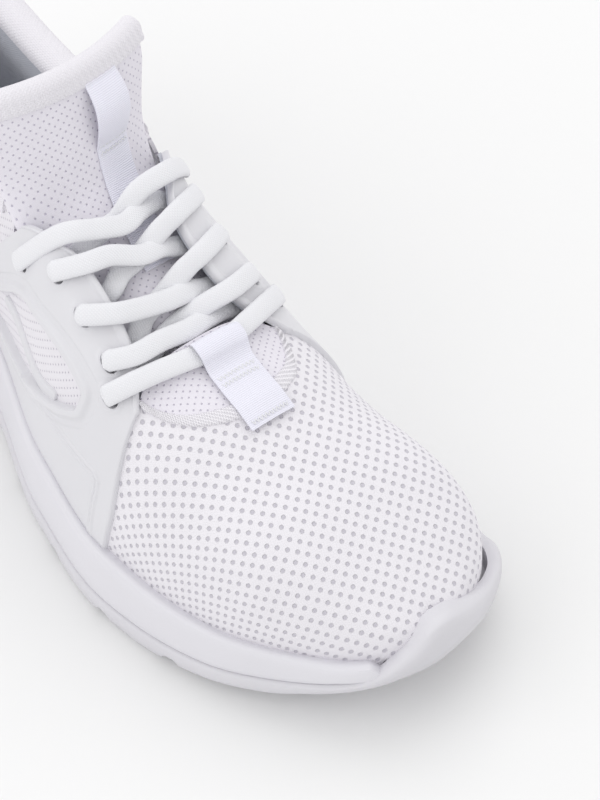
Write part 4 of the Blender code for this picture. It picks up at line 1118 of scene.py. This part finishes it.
def lace_route():
    """One lace through all the eyelets, from one tucked end to the other."""
    def half(side):
        points = hole_points(EYELETS[side][4], side)
        for k in range(4, 0, -1):
            under = side if k % 2 == 0 else -side
            points += strand(k, under)
            points += hole_points(EYELETS[-under][k - 1], -under)
        x, turn = EYELETS[side][0]
        points.append(eyestay_point(x - 4.0, turn - 0.025, side, TUCKED))
        points.append(eyestay_point(x - 7.5, turn - 0.055, side, TUCKED))
        return points

    run = [eyestay_point(44.6, 0.345, -1, OVER)] + [throat_point(*place) for place in BAR]
    run.append(eyestay_point(43.4, 0.345, 1, OVER))
    return half(-1)[::-1] + run + half(1)


def shell_normals(points):
    """The upper's outward direction near each point."""
    xs = np.linspace(-30, 60, 61)
    turns = np.linspace(0.15, 0.85, 71)
    angles, turns = np.meshgrid(angle_of(xs), turns, indexing="ij")
    places = wall_point(angles, turns).reshape(-1, 3)
    normals = wall_normal(angles, turns).reshape(-1, 3)
    tree = KDTree(len(places))
    for k, place in enumerate(places):
        tree.insert(place, k)
    tree.balance()
    return np.array([normals[tree.find(p)[1]] for p in points])


def make_lace():
    """The flat-oval lace, swept along its route with its flat side to the shoe."""
    route = np.array(lace_route())
    steps = np.linalg.norm(np.diff(route, axis=0), axis=1)
    along = np.concatenate([[0], np.cumsum(np.sqrt(steps))])
    fine = np.linspace(0, along[-1], 6000)
    dense = np.stack([curve(list(zip(along, route[:, k])), free=True)(fine) for k in range(3)], -1)
    run = run_lengths(dense)
    places = np.arange(0, run[-1], LACE_STEP)
    line = np.stack([np.interp(places, run, dense[:, k]) for k in range(3)], -1)
    tangent = unit(np.gradient(line, axis=0))
    guide = shell_normals(line)
    straight = np.abs(np.sum(tangent * guide, axis=-1))
    wide = unit(np.cross(tangent, guide))
    for k in range(1, len(wide)):
        if wide[k] @ wide[k - 1] < 0:
            wide[k] = -wide[k]
    smooth = wide * (1.02 - straight)[:, None]
    kernel = np.exp(-np.linspace(-2, 2, 13) ** 2)
    smooth = np.stack([np.convolve(smooth[:, k], kernel, mode="same") for k in range(3)], -1)
    wide = unit(smooth - tangent * np.sum(smooth * tangent, axis=-1, keepdims=True))
    flat = np.cross(wide, tangent)
    squeeze = 1 - 0.25 * ease(0.55, 0.95, straight)
    turns = np.linspace(0, 2 * np.pi, 21)[:-1]
    across = np.sign(np.cos(turns)) * np.abs(np.cos(turns)) ** 0.8 * LACE_HALF_WIDTH
    up = np.sign(np.sin(turns)) * np.abs(np.sin(turns)) ** 0.9 * LACE_HALF_THICKNESS
    grid = (line[:, None] + wide[:, None] * (across[None, :, None] * squeeze[:, None, None])
            + flat[:, None] * up[None, :, None])
    around = run_lengths(np.stack([across, up], -1))
    tube("flat_lace", grid, around, places, "lace", ["shoelace"])


# --- the nodes that stay as they are

def dress_hidden_nodes():
    """Materials for the CAD nodes that keep their shape."""
    looks = {"strobel_board": "board", "toe_puff": "stiffener", "heel_counter": "stiffener",
             "aglet_outer": "tip", "aglet_inner": "tip"}
    for node, look in looks.items():
        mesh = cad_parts[node].data
        mesh.materials.clear()
        mesh.materials.append(LOOKS[look])


# --- stage

CAMERA_AZIMUTH = 52.46
CAMERA_ELEVATION = 50.85
CAMERA_DISTANCE = 0.9042
CAMERA_LENS = 133.3
FLOOR_REACH = 6
CAMERA_TARGET = Vector((0.060, 0.02407, 0.04825))


def aim(azimuth, elevation):
    """The direction from the target to a camera or light at these angles."""
    a = math.radians(azimuth)
    e = math.radians(elevation)
    return Vector((math.sin(a) * math.cos(e), -math.cos(a) * math.cos(e), math.sin(e)))


def add_aimed(name, data, azimuth, elevation, distance):
    """A camera or light at this distance and direction, turned to the target."""
    made = bpy.data.objects.new(name, data)
    back = aim(azimuth, elevation)
    made.location = CAMERA_TARGET + back * distance
    made.rotation_mode = "QUATERNION"
    made.rotation_quaternion = (-back).to_track_quat("-Z", "Y")
    bpy.context.scene.collection.objects.link(made)
    return made


def make_camera():
    data = bpy.data.cameras.new("camera")
    data.lens = CAMERA_LENS
    data.sensor_width = 36.0
    data.clip_start = 0.01
    bpy.context.scene.camera = add_aimed("camera", data, CAMERA_AZIMUTH, CAMERA_ELEVATION, CAMERA_DISTANCE)


def make_light(name, azimuth, elevation, distance, size, power):
    data = bpy.data.lights.new(name, "AREA")
    data.shape = "DISK"
    data.size = size
    data.energy = power
    add_aimed(name, data, azimuth, elevation, distance)


def make_stage():
    """A plain pale floor that runs into an even pale background, and soft light from behind and above."""
    mesh = bpy.data.meshes.new("floor")
    corners = [(x * FLOOR_REACH, y * FLOOR_REACH, 0) for x, y in ((-1, -1), (1, -1), (1, 1), (-1, 1))]
    mesh.from_pydata(corners, [], [(0, 1, 2, 3)])
    look = Look("pale_floor", 0.9)
    look.finish(tint(look, (0.85, 0.85, 0.85), 0.002), look.noise(300, 2), 0.02)
    mesh.materials.append(look.made)
    floor = bpy.data.objects.new("floor", mesh)
    bpy.context.scene.collection.objects.link(floor)
    world = bpy.data.worlds.new("soft_room")
    world.use_nodes = True
    background = world.node_tree.nodes["Background"]
    background.inputs["Color"].default_value = (1.0, 1.0, 1.0, 1)
    background.inputs["Strength"].default_value = 0.90
    bpy.context.scene.world = world
    make_light("overhead", 215, 62, 1.7, 1.6, 6.5)
    make_light("outer_side_fill", -15, 36, 1.9, 1.6, 6.5)
    bpy.context.scene.view_settings.view_transform = "Standard"


def main():
    make_camera()
    for make in (make_outsole, make_midsole, make_footbed, make_vamp, make_throat, make_quarters, make_heel):
        make()
    make_collar()
    for make in (make_saddles, make_eyelet_backings, make_emblem):
        make()
    make_tongue()
    for make in (make_tongue_hem, make_pull_ribbon, make_lace_keeper, make_lace):
        make()
    dress_hidden_nodes()
    make_stage()


main()
